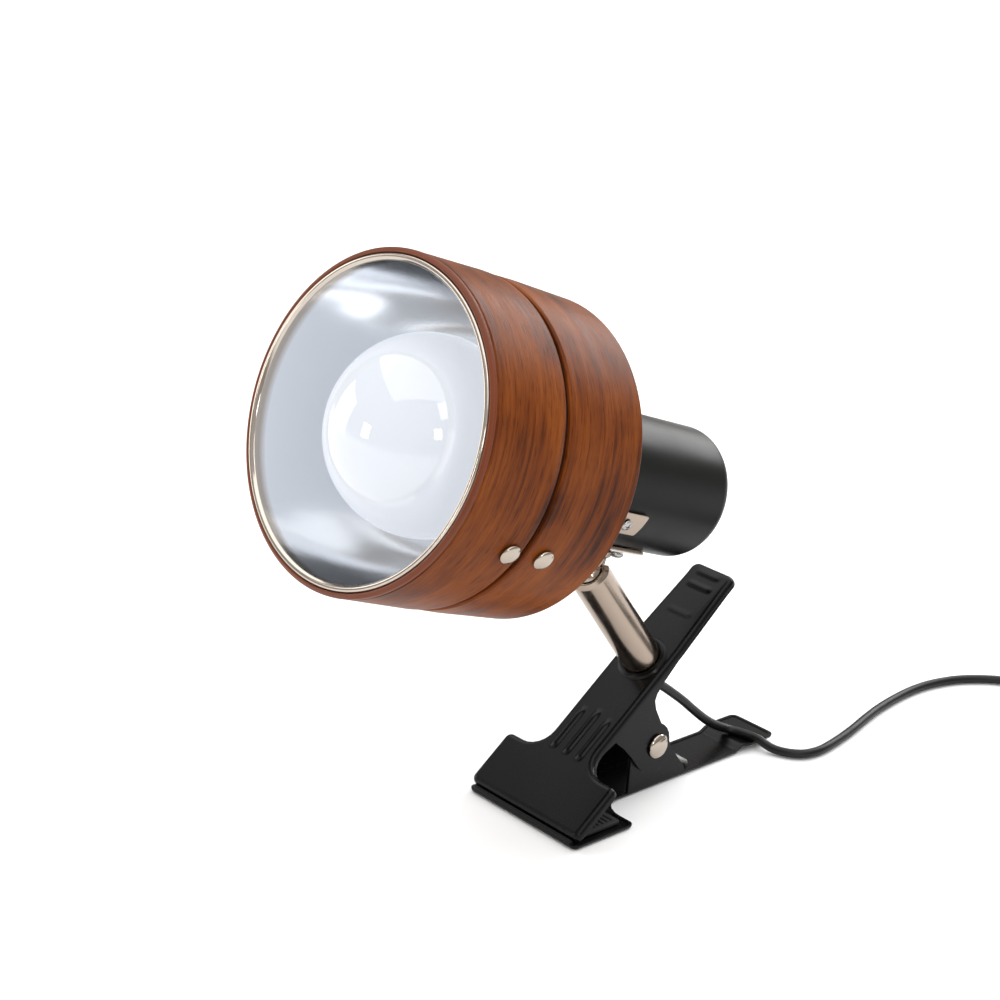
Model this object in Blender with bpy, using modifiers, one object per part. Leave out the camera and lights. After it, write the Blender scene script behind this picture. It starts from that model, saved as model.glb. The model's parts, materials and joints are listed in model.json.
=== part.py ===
"""Clip-on reading lamp: a veneered shade on a ball-jointed chrome stem, carried by a spring clip.

Row frame: the origin is the middle of the bite line, where the two jaw tips meet. The lamp faces -Y,
+Y runs from the bite to the clip's handles and +Z is up. Lengths below are in millimetres, and MM
turns them into metres.
"""
import math

import bmesh
import bpy
from mathutils import Matrix, Vector

MM = 0.001
GAP = 0.3            # clearance between touching pieces
ROUND_WIDE = 40      # sides of the shade
ROUND = 32           # sides of a large turned piece
ROUND_SMALL = 16     # sides of a small turned piece

# ---- driving dimensions -------------------------------------------------------------------------
BITE_HEIGHT = 2.45   # bite line above the lower jaw's underside
JAW_ANGLE = 38.0     # upper jaw's plate above the lower jaw, closed
PLATE_FRONT = 4.75   # upper plate's front edge above the underside
JAW_WIDTH = 51.0
JAW_DEPTH = 21.0
UPPER_LENGTH = 106.0
LOWER_LENGTH = 114.0
SHEET = 1.2
HANDLE_HALF = 10.6   # half the handle's width at the ears
HANDLE_END_HALF = 9.2
CHANNEL_HALF = 9.2   # half the lower channel's width, inside the ears
PIVOT_ALONG = 47.7   # pivot in the upper plate's own axes: along it, and below it
PIVOT_BELOW = 22.2
STEM_FOOT = 65.1     # along the upper plate
STEM_RADIUS = 6.75
BALL_HEIGHT = 46.0   # ball's centre above the plate, along the stem
BALL_RADIUS = 5.3
HEAD_TILT = 19.45    # the head's axis falls by this towards the back
BALL_BACK = 114.2    # ball's centre behind the rim, along the head's axis
BALL_DROP = 32.4     # ball's centre below the head's axis
RIM_RADIUS = 50.0
FRONT_BAND = (0.0, 29.8)
REAR_BAND = (31.8, 64.0)
WALL_VENEER = 1.5
CAP_RADIUS = 21.6
CAP_SPAN = (65.0, 144.5)
GLOBE_RADIUS = 30.0
GLOBE_CENTRE = 25.5
CORD_RADIUS = 1.6

BLACK_PAINT = ("black_paint", (0.02, 0.02, 0.021), 0.35, 0.0)
CHROME = ("chrome", (0.72, 0.70, 0.68), 0.08, 1.0)
NICKEL = ("nickel", (0.75, 0.71, 0.66), 0.2, 1.0)
STEEL = ("zinc_steel", (0.55, 0.55, 0.55), 0.35, 1.0)
BRASS = ("brass", (0.75, 0.55, 0.25), 0.25, 1.0)
ALUMINIUM = ("polished_aluminium", (0.85, 0.85, 0.86), 0.12, 1.0)
VENEER = ("walnut_veneer", (0.25, 0.085, 0.035), 0.4, 0.0)
LINER = ("dark_liner", (0.08, 0.015, 0.01), 0.6, 0.0)
RUBBER = ("black_rubber", (0.025, 0.025, 0.025), 0.8, 0.0)
PVC = ("black_pvc", (0.02, 0.02, 0.02), 0.5, 0.0)
PLASTIC = ("black_abs", (0.02, 0.02, 0.02), 0.4, 0.0)
NYLON = ("nylon", (0.8, 0.78, 0.7), 0.5, 0.0)
PORCELAIN = ("porcelain", (0.85, 0.84, 0.8), 0.25, 0.0)
OPAL = ("opal_glass", (0.9, 0.91, 0.95), 0.15, 0.0)

parts = bpy.data.collections.new("clip_on_reading_lamp")
cutters = bpy.data.collections.new("cutters")


# ---- helpers ------------------------------------------------------------------------------------
def clear_scene():
    for obj in list(bpy.data.objects):
        bpy.data.objects.remove(obj, do_unlink=True)
    bpy.context.scene.collection.children.link(parts)
    bpy.context.scene.collection.children.link(cutters)


def material(spec):
    name, colour, roughness, metallic = spec
    found = bpy.data.materials.get(name)
    if found:
        return found
    made = bpy.data.materials.new(name)
    made.use_nodes = True
    shader = made.node_tree.nodes["Principled BSDF"]
    shader.inputs["Base Color"].default_value = (*colour, 1.0)
    shader.inputs["Roughness"].default_value = roughness
    shader.inputs["Metallic"].default_value = metallic
    return made


def empty(name, parent=None, location=(0, 0, 0), rotation_x=0.0):
    """A joint or group empty, with its place in millimetres and its turn about X in degrees."""
    made = bpy.data.objects.new(name, None)
    made.empty_display_size = 0.01
    parts.objects.link(made)
    made.parent = parent
    made.location = Vector(location) * MM
    made.rotation_euler = (math.radians(rotation_x), 0, 0)
    return made


def add_object(name, mesh, spec, parent, smooth_angle=40):
    made = bpy.data.objects.new(name, mesh)
    parts.objects.link(made)
    made.parent = parent
    mesh.materials.append(material(spec))
    mesh.shade_smooth()
    mesh.set_sharp_from_angle(angle=math.radians(smooth_angle))
    return made


def turned(name, profile, spec, parent, sides=ROUND, place=None):
    """A solid turned about local Z. The closed profile is (radius, height) in millimetres, listed
    down the outer side first; points on the axis are left out of the ring by the merge."""
    mesh = bpy.data.meshes.new(name)
    points = [(r * MM, 0.0, z * MM) for r, z in profile]
    closed = profile[0][0] > 0 or profile[-1][0] > 0
    edges = [(i, i + 1) for i in range(len(points) - 1)]
    if closed:
        edges.append((len(points) - 1, 0))
    mesh.from_pydata(points, edges, [])
    made = add_object(name, mesh, spec, parent)
    screw = made.modifiers.new("turn", "SCREW")
    screw.axis = "Z"
    screw.steps = sides
    screw.render_steps = sides
    screw.use_merge_vertices = True
    screw.merge_threshold = 0.00001
    screw.use_smooth_shade = True
    if place is not None:
        made.matrix_local = place
    return made


def tube_profile(outer, inner, top, bottom):
    return [(outer, top), (outer, bottom), (inner, bottom), (inner, top)]


def plate(name, outline, thickness, spec, parent, place=None, bevel=0.0):
    """A flat piece from a closed outline of (x, y) points in millimetres, on local Z = 0 and up."""
    curve = bpy.data.curves.new(name, "CURVE")
    curve.dimensions = "2D"
    curve.fill_mode = "BOTH"
    curve.extrude = thickness * MM / 2
    spline = curve.splines.new("POLY")
    spline.points.add(len(outline) - 1)
    for point, (x, y) in zip(spline.points, outline):
        point.co = (x * MM, y * MM, 0.0, 1.0)
    spline.use_cyclic_u = True
    lift = Matrix.Translation((0, 0, thickness * MM / 2))
    return to_mesh(name, curve, spec, parent, lift, place, bevel)


def to_mesh(name, curve, spec, parent, before=None, place=None, bevel=0.0):
    """Turn a curve into a closed mesh object, with its caps welded to its walls."""
    holder = bpy.data.objects.new(name + "_curve", curve)
    parts.objects.link(holder)
    view = bpy.context.evaluated_depsgraph_get()
    mesh = bpy.data.meshes.new_from_object(holder.evaluated_get(view))
    bpy.data.objects.remove(holder, do_unlink=True)
    mesh.name = name
    solid = bmesh.new()
    solid.from_mesh(mesh)
    bmesh.ops.remove_doubles(solid, verts=solid.verts, dist=0.000002)
    bmesh.ops.dissolve_limit(solid, angle_limit=math.radians(0.5), verts=solid.verts, edges=solid.edges)
    if before is not None:
        bmesh.ops.transform(solid, matrix=before, verts=solid.verts)
    bmesh.ops.recalc_face_normals(solid, faces=solid.faces)
    solid.to_mesh(mesh)
    solid.free()
    made = add_object(name, mesh, spec, parent)
    if place is not None:
        made.matrix_local = place
    if bevel:
        add_bevel(made, bevel)
    return made


def add_bevel(obj, width, segments=1, angle=50):
    bevel = obj.modifiers.new("edges", "BEVEL")
    bevel.width = width * MM
    bevel.segments = segments
    bevel.limit_method = "ANGLE"
    bevel.angle_limit = math.radians(angle)
    return bevel


def box(name, size, centre, spec, parent, bevel=0.0, place=None):
    mesh = bpy.data.meshes.new(name)
    solid = bmesh.new()
    bmesh.ops.create_cube(solid, size=1.0)
    bmesh.ops.scale(solid, vec=Vector(size) * MM, verts=solid.verts)
    bmesh.ops.translate(solid, vec=Vector(centre) * MM, verts=solid.verts)
    solid.to_mesh(mesh)
    solid.free()
    made = add_object(name, mesh, spec, parent)
    if place is not None:
        made.matrix_local = place
    if bevel:
        add_bevel(made, bevel)
    return made


def wire(name, route, radius, spec, parent, place=None, sides=2, cyclic=False):
    """A round wire or cord along the points of route, in millimetres."""
    curve = bpy.data.curves.new(name, "CURVE")
    curve.dimensions = "3D"
    curve.bevel_depth = radius * MM
    curve.bevel_resolution = sides
    curve.use_fill_caps = True
    spline = curve.splines.new("POLY")
    spline.points.add(len(route) - 1)
    for point, position in zip(spline.points, route):
        point.co = (*(Vector(position) * MM), 1.0)
    spline.use_cyclic_u = cyclic
    return to_mesh(name, curve, spec, parent, None, place)


def boolean(target, cutter, operation="DIFFERENCE"):
    cut = target.modifiers.new(cutter.name, "BOOLEAN")
    cut.object = cutter
    cut.operation = operation
    cut.solver = "EXACT"
    cutter.hide_render = True
    cutter.display_type = "WIRE"
    for collection in list(cutter.users_collection):
        collection.objects.unlink(cutter)
    cutters.objects.link(cutter)


def hole(target, name, radius, low, high, parent, place=None, sides=ROUND_SMALL):
    profile = [(0, high), (radius, high), (radius, low), (0, low)]
    cutter = turned(name, profile, STEEL, parent, sides, place)
    boolean(target, cutter)
    return cutter


def hex_nut(name, corner, bore, high, low, parent, place=None):
    """A six-sided nut round local Z with a round bore."""
    solid = [(0, high), (corner, high), (corner, low), (0, low)]
    nut = turned(name, solid, STEEL, parent, 6, place)
    hole(nut, name + "_bore", bore, low - 1, high + 1, parent, place)


def arc(cx, cy, radius, start, end, steps):
    """Points of an arc from angle start to end, in degrees."""
    found = []
    for i in range(steps + 1):
        a = math.radians(start + (end - start) * i / steps)
        found.append((cx + radius * math.cos(a), cy + radius * math.sin(a)))
    return found


def mirrored(half):
    """A closed outline from its right half, listed from the lowest point on the axis to the highest."""
    return half + [(-x, y) for x, y in reversed(half) if abs(x) > 1e-6]


def smooth_route(points, spacing):
    """Points every spacing millimetres along a Catmull-Rom curve through the route's own points."""
    ends = [2 * Vector(points[0]) - Vector(points[1])]
    ends += [Vector(p) for p in points]
    ends.append(2 * Vector(points[-1]) - Vector(points[-2]))
    dense = []
    for a, b, c, d in zip(ends, ends[1:], ends[2:], ends[3:]):
        for i in range(40):
            t = i / 40
            dense.append(0.5 * ((2 * b) + (c - a) * t + (2 * a - 5 * b + 4 * c - d) * t * t
                                + (3 * b - a - 3 * c + d) * t ** 3))
    dense.append(ends[-2])
    total = sum((q - p).length for p, q in zip(dense, dense[1:]))
    count = max(2, round(total / spacing))
    step = total / count
    found = [dense[0]]
    walked = 0.0
    for p, q in zip(dense, dense[1:]):
        length = (q - p).length
        while length > 0 and walked + length >= step * len(found) and len(found) < count:
            found.append(p.lerp(q, (step * len(found) - walked) / length))
        walked += length
    found.append(dense[-1])
    return found


# ---- clip ---------------------------------------------------------------------------------------
def side_plate(name, outline, inner, parent, thickness=SHEET):
    """An upright plate for one side: its outline is (y, z), and it stands from x = inner outwards."""
    place = Matrix(((0, 0, 1, inner * MM), (1, 0, 0, 0), (0, 1, 0, 0), (0, 0, 0, 1)))
    return plate(name, outline, thickness, BLACK_PAINT, parent, place)


def cross_hole(target, name, radius, centre, half_length, parent):
    """A hole along X through target, centred on (y, z)."""
    place = Matrix.Translation(Vector((0, centre[0], centre[1])) * MM) @ Matrix.Rotation(math.pi / 2, 4, "Y")
    return hole(target, name, radius, -half_length, half_length, parent, place)


def jaw_outline(depth, fillet_end, handle_half, straight_end, end_half, length, corner):
    """Half of a T-shaped jaw: a wide bite, a concave fillet into the handle, and the handle's end."""
    half = JAW_WIDTH / 2
    radius = fillet_end - depth
    found = [(0, 0)] + arc(half - 2, 2, 2, -90, 0, 3) + arc(half - 2, depth - 2, 2, 0, 90, 3)
    found += arc(handle_half + radius, fillet_end, radius, -90, -180, 5)
    found += [(handle_half, straight_end)] + arc(end_half - corner, length - corner, corner, 0, 90, 3)
    return found + [(0, length)]


def make_lower_jaw(base, pivot_at):
    y, z = pivot_at
    half = [(0, 0)] + arc(JAW_WIDTH / 2 - 2, 2, 2, -90, 0, 3)
    half += [(JAW_WIDTH / 2, 25.2), (JAW_WIDTH / 2 - 0.8, 26.2)]
    half += arc(CHANNEL_HALF + 9.2, 36.4, 9.2, -90, -180, 5)
    half += [(CHANNEL_HALF, 99.5), (0, 99.5)]
    jaw = plate("lower_jaw", mirrored(half), SHEET, BLACK_PAINT, base)
    tab = [(0, 98.0), (9.8, 98.0)] + arc(7.3, LOWER_LENGTH - 2.5, 2.5, 0, 90, 3) + [(0, LOWER_LENGTH)]
    lifted = Matrix.Translation((0, 0, 0.9 * MM))
    boolean(jaw, plate("finger_tab", mirrored(tab), SHEET, BLACK_PAINT, base, lifted), "UNION")
    boolean(jaw, box("bite_lip", (47, 2.4, 1.6), (0, 1.25, 1.5), BLACK_PAINT, base), "UNION")
    flange = [(40.5, 0.3), (97.0, 0.3), (97.0, 2.1), (68.5, 2.3), (60.5, 12.5)]
    flange += arc(y, z, 7.5, 10, 160, 7) + [(40.5, 15.0)]
    for side, inner in (("right", CHANNEL_HALF - SHEET), ("left", -CHANNEL_HALF)):
        boolean(jaw, side_plate("lower_ear_" + side, flange, inner, base), "UNION")
    cross_hole(jaw, "lower_pin_hole", 2.6, pivot_at, 14, base)
    return jaw


def make_upper_jaw(upper):
    half = jaw_outline(JAW_DEPTH, 29.0, HANDLE_HALF, 72.0, HANDLE_END_HALF, UPPER_LENGTH, 2.5)
    down = Matrix.Translation((0, 0, -SHEET * MM))
    jaw = plate("upper_jaw", mirrored(half), SHEET, BLACK_PAINT, upper, down)
    boolean(jaw, box("front_lip", (47, 1.2, 2.2), (0, 0.65, -1.6), BLACK_PAINT, upper), "UNION")
    ear = [(30.5, -0.6), (35.5, -2.3), (37.6, -12.0), (37.5, -22.0), (40.0, -28.0), (44.0, -31.0),
           (51.5, -31.0), (52.6, -23.3), (53.6, -15.8), (54.5, -9.7), (57.5, -4.2), (65.5, -2.6),
           (71.0, -2.4), (71.0, -0.6)]
    for side, inner in (("right", HANDLE_HALF - SHEET), ("left", -HANDLE_HALF)):
        boolean(jaw, side_plate("upper_ear_" + side, ear, inner, upper), "UNION")
    cross_hole(jaw, "upper_pin_hole", 2.6, (PIVOT_ALONG, -PIVOT_BELOW), 14, upper)
    place = Matrix.Translation((0, STEM_FOOT * MM, 0))
    hole(jaw, "stem_hole", 5.3, -3, 2, upper, place)
    return jaw


def make_pads(base, upper):
    lower = [(0, 3.6), (21.5, 3.6), (22.5, 4.6), (22.5, 22.5), (21.5, 23.5), (0, 23.5)]
    lift = Matrix.Translation((0, 0, (SHEET + GAP) * MM))
    plate("lower_pad", mirrored(lower), 1.6, RUBBER, base, lift)
    upper_half = [(0, 3.2), (21.5, 3.2), (22.5, 4.2), (22.5, 17.5), (21.5, 18.5), (0, 18.5)]
    drop = Matrix.Translation((0, 0, -(SHEET + GAP + 1.6) * MM))
    plate("upper_pad", mirrored(upper_half), 1.6, RUBBER, upper, drop)


def make_pivot_pin(pivot):
    head = HANDLE_HALF + GAP
    profile = [(0, head + 1.8), (2.6, head + 1.6), (4.0, head + 0.8), (4.35, head), (2.3, head),
               (2.3, -head), (4.35, -head), (4.0, -head - 0.8), (2.6, -head - 1.6), (0, -head - 1.8)]
    turned("pivot_pin", profile, NICKEL, pivot, ROUND_SMALL, Matrix.Rotation(math.pi / 2, 4, "Y"))


def spring_route(pivot_at):
    """Half of the double spring: floor bridge, lower leg, coil round the pin, upper leg."""
    y, z = pivot_at
    radius, pitch, start, sweep = 4.7, 2.2, -70.0, 811.0
    steps = 24
    route = [(0, 72, 2.5), (5.6, 72, 2.5), (6.4, 71.2, 2.6)]
    for i in range(steps + 1):
        a = math.radians(start - sweep * i / steps)
        route.append((6.4 - pitch * sweep / 360 * i / steps, y + radius * math.cos(a), z + radius * math.sin(a)))
    route.append((1.5, 44.9, 35.4))
    return route


def make_spring(base, pivot_at):
    half = spring_route(pivot_at)
    whole = [(-x, y, z) for x, y, z in reversed(half[1:])] + half
    wire("torsion_spring", whole, 0.95, STEEL, base, sides=1)


# ---- stem ---------------------------------------------------------------------------------------
def make_stem(stem, upper):
    r = STEM_RADIUS
    top = BALL_HEIGHT
    profile = [(5.3, top + 2.2), (5.9, top + 2.0), (r, top + 0.9), (r, GAP), (5.0, GAP), (5.0, -8.0), (3.5, -8.0),
               (3.5, 26.3), (5.5, 26.3), (5.5, top - 1.5), (5.65, top), (5.3, top + 2.0)]
    tube = turned("stem_tube", profile, CHROME, stem, 24)
    slot = arc(0, top + 0.3, 4.0, -180, 0, 8) + [(4.0, top + 5), (-4.0, top + 5)]
    boolean(tube, plate("stud_slot", slot, 7.5, CHROME, stem, upright_at(0, 9)))
    seat = [(5.2, top - 2.2), (5.2, top - 9.5), (2.2, top - 9.5), (2.2, top - 5.3), (3.6, top - 4.4)]
    turned("friction_seat", seat, NYLON, stem, ROUND_SMALL)
    turns, steps, coil = 4.5, 8, 4.3
    low, high = 27.2, top - 10.4
    route = []
    for i in range(int(turns * steps) + 1):
        a = 2 * math.pi * i / steps
        rise = low + (high - low) * i / (turns * steps)
        route.append((coil * math.cos(a), coil * math.sin(a), rise))
    wire("pressure_spring", route, 0.5, STEEL, stem, sides=0)
    wire("stem_lead", [(0, 0, -9.8), (0, 0, 10), (0, 0, 30), (0, 0, top - 5.8)], CORD_RADIUS, PVC, stem)
    at_foot = Matrix.Translation((0, STEM_FOOT * MM, 0))
    turned("stem_collar", [(7.9, 1.6), (9.0, 1.1), (9.3, GAP), (7.1, GAP), (7.1, 1.6)], BLACK_PAINT, upper,
           ROUND, at_foot)
    turned("stem_washer", tube_profile(8.3, 5.3, -SHEET - GAP, -SHEET - GAP - 0.8), STEEL, upper, ROUND_SMALL,
           at_foot)
    hex_nut("stem_nut", 8.2, 5.3, -2.6, -6.4, upper, at_foot)
    bushing = [(2.9, -4.0), (2.9, -8.3), (4.9, -8.3), (4.6, -9.9), (3.9, -10.4), (1.95, -10.4), (1.95, -4.0)]
    turned("cord_bushing", bushing, PLASTIC, stem, ROUND_SMALL)


# ---- head ---------------------------------------------------------------------------------------
def radial(radius, angle, along):
    """Place of a fastener on the head: local Z points inwards from a point at radius, at angle from
    down towards +X, and at a distance along the axis."""
    a = math.radians(angle)
    outwards = Vector((math.sin(a), math.cos(a), 0))
    inwards = -outwards
    side = Vector((0, 0, 1)).cross(inwards)
    turn = Matrix((side, Vector((0, 0, 1)), inwards)).transposed().to_4x4()
    return Matrix.Translation(outwards * radius * MM + Vector((0, 0, along * MM))) @ turn


def ring_piece(name, outer, inner, span, width, angle, spec, head):
    """A curved strip of a ring round the head's axis, width across, centred at angle from down."""
    made = turned(name, tube_profile(outer, inner, span[1], span[0]), spec, head, ROUND_WIDE)
    length = span[1] - span[0] + 4
    middle = (span[0] + span[1]) / 2
    place = Matrix.Rotation(-math.radians(angle), 4, "Z") @ Matrix.Translation((0, 0, middle * MM))
    boolean(made, box(name + "_trim", (width, 14, length), (0, outer, 0), spec, head, place=place), "INTERSECT")
    return made


def make_shade(head):
    front, rear = FRONT_BAND, REAR_BAND
    inner = RIM_RADIUS - WALL_VENEER + 0.1
    bands = (("shade_front_band", front, RIM_RADIUS, RIM_RADIUS + 0.2, 25.0),
             ("shade_rear_band", rear, RIM_RADIUS + 0.1, RIM_RADIUS - 0.4, 38.9))
    liner = turned("shade_liner", tube_profile(48.3, 47.3, 62.4, 3.0), LINER, head, ROUND_WIDE)
    for name, span, radius_front, radius_rear, rivet_at in bands:
        profile = [(inner, span[1]), (radius_rear - 0.4, span[1]), (radius_rear, span[1] - 0.4),
                   (radius_front, span[0] + 0.4), (radius_front - 0.4, span[0]), (inner, span[0])]
        band = turned(name, profile, VENEER, head, ROUND_WIDE)
        place = radial(0, 65.4, rivet_at)
        cutter = hole(band, name + "_rivet_hole", 1.6, -55, -44, head, place)
        boolean(liner, cutter)
        rivet = [(0, 3.4), (1.3, 3.4), (1.3, 0), (3.2, 0), (3.0, -0.7), (2.0, -1.4), (0, -1.75)]
        seat = radial(RIM_RADIUS + 0.5, 65.4, rivet_at)
        turned(name.replace("shade_", "").replace("_band", "_seam_rivet"), rivet, NICKEL, head, ROUND_SMALL, seat)
    cover = [(48.3, 64.0), (48.3, 62.8), (18.1, 62.8), (18.1, 64.0)]
    turned("shade_cover", cover, BLACK_PAINT, head, ROUND)


def bowl_radius(s, mouth, neck, start, depth):
    t = min(max((s - start) / depth, 0.0), 1.0)
    return neck + (mouth - neck) * (1 - t ** 2.6) ** (1 / 2.2)


def make_reflector(head):
    start, depth, wall, steps = 2.2, 56.6, 0.8, 7
    stations = [start + depth * math.sin(math.pi / 2 * i / steps) for i in range(steps + 1)]
    outer = [(bowl_radius(s, 47.0, 22.0, start, depth), s) for s in reversed(stations)]
    inner = [(bowl_radius(s, 46.2, 21.6, start, depth - wall), min(s, start + depth - wall)) for s in stations]
    profile = [(18.1, start + depth)] + outer
    profile += [(48.1, 1.9), (48.3, 0.8), (48.0, 0.0), (47.3, -0.4), (46.5, -0.2), (46.1, 0.5)]
    profile += inner + [(18.1, start + depth - wall)]
    turned("reflector", profile, ALUMINIUM, head)


def make_bulb(head):
    r, c = GLOBE_RADIUS, GLOBE_CENTRE
    neck = [(13.0, 64.0), (13.2, 60.0), (13.6, 57.4), (15.4, 54.0)]
    outer = neck + [(r * math.sin(math.radians(a)), c + r * math.cos(math.radians(a))) for a in range(40, 181, 14)]
    outer[-1] = (0.0, c - r)
    t = r - 1.0
    inner = [(t * math.sin(math.radians(a)), c + t * math.cos(math.radians(a))) for a in range(180, 39, -14)]
    inner[0] = (0.0, c - t)
    inner += [(14.4, 54.0), (12.6, 57.4), (12.2, 60.0), (12.0, 64.0)]
    turned("bulb_globe", inner + outer, OPAL, head)
    cap = [(0, 86.5), (6, 86.5), (13.1, 82.5), (13.1, 64.3), (0, 64.3)]
    turned("bulb_screw_cap", cap, NICKEL, head, ROUND_SMALL)
    turned("bulb_contact", [(0, 89.0), (3.2, 89.0), (3.6, 86.8), (0, 86.8)], BRASS, head, ROUND_SMALL)


def make_holder(head):
    holder = [(1.5, 98.0), (17.5, 98.0), (17.5, 69.0), (19.8, 69.0), (19.8, 65.6), (17.5, 65.6), (17.5, 57.5),
              (14.3, 57.5), (14.3, 93.0), (1.5, 93.0)]
    turned("lamp_holder", holder, PORCELAIN, head, ROUND_SMALL)
    turned("screw_shell", tube_profile(14.0, 13.5, 88.0, 62.0), BRASS, head, ROUND_SMALL)
    box("centre_contact", (6, 16, 0.8), (0, 0, 91.2), BRASS, head)
    turned("shade_ring", [(21.5, 57.4), (21.5, 56.0), (20.5, 55.0), (17.8, 55.0), (17.8, 57.4)], PLASTIC, head,
           ROUND_SMALL)


def make_cap(head):
    low, high = CAP_SPAN
    r, edge, wall = CAP_RADIUS, 4.5, 1.4
    outer = [(0, high)] + [(x, s) for x, s in reversed(arc(r - edge, high - edge, edge, 0, 90, 3))]
    inner = arc(r - edge, high - edge, edge - wall, 0, 90, 2)
    profile = outer + [(r, low + 0.4), (r - 0.4, low), (r - wall, low)] + inner + [(0, high - wall)]
    cap = turned("socket_cap", profile, BLACK_PAINT, head, ROUND)
    saddle = ring_piece("saddle_plate", 23.1, r + GAP, (104.0, 127.0), 19.0, 0, CHROME, head)
    for target in (cap, saddle):
        hole(target, target.name + "_stud_hole", 3.2, -26, -17, head, radial(0, 0, BALL_BACK))
        hole(target, target.name + "_screw_hole", 1.8, -26, -17, head, radial(0, 0, 122.5), 12)
    screw = [(0, 6.0), (1.5, 6.0), (1.5, 0), (2.8, 0), (2.7, -0.8), (1.9, -1.6), (0, -1.9)]
    turned("saddle_screw", screw, CHROME, head, 16, radial(23.1 + GAP, 0, 122.5))
    hex_nut("stud_nut", 5.4, 3.2, 16.8, 13.6, head, stud_place())
    small = [(0, 4.0), (0.9, 4.0), (0.9, 0), (2.0, 0), (1.8, -0.6), (1.1, -1.0), (0, -1.1)]
    for side, angle in (("right", 62), ("left", -62)):
        strap = ring_piece("side_plate_" + side, 22.9, r + GAP, (94.0, 107.0), 8.6, angle, CHROME, head)
        place = radial(0, angle, 99.0)
        boolean(cap, hole(strap, "side_screw_hole_" + side, 1.2, -26, -17, head, place, 12))
        turned("side_screw_" + side, small, CHROME, head, 12, radial(22.9 + GAP, angle, 99.0))


def stud_place():
    """Local Z up the ball stud, from the ball's centre towards the head's axis."""
    return Matrix.Translation(Vector((0, BALL_DROP, BALL_BACK)) * MM) @ Matrix.Rotation(math.pi / 2, 4, "X")


def make_ball_stud(head):
    neck, r, bore = 3.4, BALL_RADIUS, 1.95
    start = math.degrees(math.asin(neck / r))
    end = 180 - math.degrees(math.asin(bore / r))
    ball = []
    for i in range(7):
        a = math.radians(start + (end - start) * i / 6)
        ball.append((r * math.sin(a), r * math.cos(a)))
    profile = [(2.9, 18.0), (2.9, 9.0), (neck, 9.0)] + ball + [(bore, 18.0)]
    turned("ball_stud", profile, CHROME, head, 20, stud_place())
    lead = smooth_route([(0, 31.5, BALL_BACK), (0, 22, BALL_BACK), (0, 13.4, BALL_BACK), (0, 8.6, 112.4),
                         (0, 5.4, 106.5), (0, 4.5, 98.6)], 4.0)
    wire("head_lead", lead, CORD_RADIUS, PVC, head)


# ---- cord, switch and plug ----------------------------------------------------------------------
LEAD_ROUTE = [(0, 57.9, 36.2), (0, 60.6, 33.2), (-0.1, 66.0, 29.2), (-0.2, 74.1, 23.0), (-0.5, 80.5, 17.6),
              (-1.0, 88.0, 11.6), (-1.2, 94.5, 7.3), (-0.6, 100.0, 4.6), (3.0, 102.4, 4.1), (7.0, 103.4, 4.1),
              (10.6, 104.2, 4.0), (14.0, 105.2, 2.5), (17.4, 106.6, 1.7), (21.6, 108.8, 1.65),
              (25.0, 112.8, 1.65), (26.3, 120.0, 1.65), (24.8, 131.0, 1.65), (22.4, 142.0, 1.65),
              (19.6, 152.3, 1.65), (17.0, 163.0, 1.65), (15.0, 175.0, 1.65), (13.9, 188.0, 1.65),
              (14.8, 200.0, 1.65), (18.6, 212.0, 1.65), (26.5, 223.0, 1.65), (37.0, 230.5, 2.0),
              (48.0, 233.4, 4.5), (56.0, 234.0, 6.2), (59.7, 234.0, 6.2)]
SWITCH_AT = (60.0, 118.0, 234.0)     # low end, high end, and place across
COIL_CENTRE = (100.0, 184.7)
COIL_RADII = (14.7, 18.0, 21.3)
COIL_LAYERS = 4
COIL_LIFT = 0.95
CORD_STEP = 3.25
LINK_ROUTE = [(118.3, 234.0, 6.2), (124.5, 233.3, 5.6), (130.8, 229.0, 3.6), (133.4, 220.0, 2.7),
              (130.6, 211.4, 2.6), (124.0, 207.0, 2.6), (113.4, 206.1, 2.6)]
TAIL_ROUTE = [(78.7, 171.4, 12.35), (79.0, 166.5, 11.0), (82.0, 157.5, 8.0), (88.8, 150.4, 6.6),
              (96.5, 147.8, 6.2), (101.7, 147.5, 6.2)]
PLUG_AT = (102.0, 147.5, 6.2)        # middle of its back face


def upright_at(x, y):
    """Stands a plate up across Y: its outline is (x, z) from x, and it runs from y towards -Y."""
    return Matrix(((1, 0, 0, x * MM), (0, 0, -1, y * MM), (0, 1, 0, 0), (0, 0, 0, 1)))


def make_cord(base):
    wire("cord_lead", smooth_route(LEAD_ROUTE, 6.4), CORD_RADIUS, PVC, base, sides=1)
    wire("cord_link", smooth_route(LINK_ROUTE, 5.0), CORD_RADIUS, PVC, base, sides=1)
    wire("cord_tail", smooth_route(TAIL_ROUTE, 5.0), CORD_RADIUS, PVC, base, sides=1)
    x, y = COIL_CENTRE
    top = COIL_LIFT + COIL_LAYERS * CORD_STEP + 0.1
    inside, outside = COIL_RADII[0] - 1.75, COIL_RADII[-1] + 1.75
    middle = Matrix.Translation(Vector((x, y, 0)) * MM)
    turned("cord_coil", tube_profile(outside, inside, top, COIL_LIFT), PVC, base, ROUND, middle)
    near, far = GAP - inside, -outside - GAP
    low, high = COIL_LIFT - GAP, top + GAP
    loop = [(far, low), (near, low), (near, high), (far, high)]
    band = 0.6
    outer = [(far - band, low - band), (near + band, low - band), (near + band, high + band),
             (far - band, high + band)]
    tie = plate("coil_tie", outer, 5.0, PLASTIC, base, upright_at(x, y + 2.5))
    boolean(tie, plate("coil_tie_inside", loop, 7.0, PLASTIC, base, upright_at(x, y + 3.5)))


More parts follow.
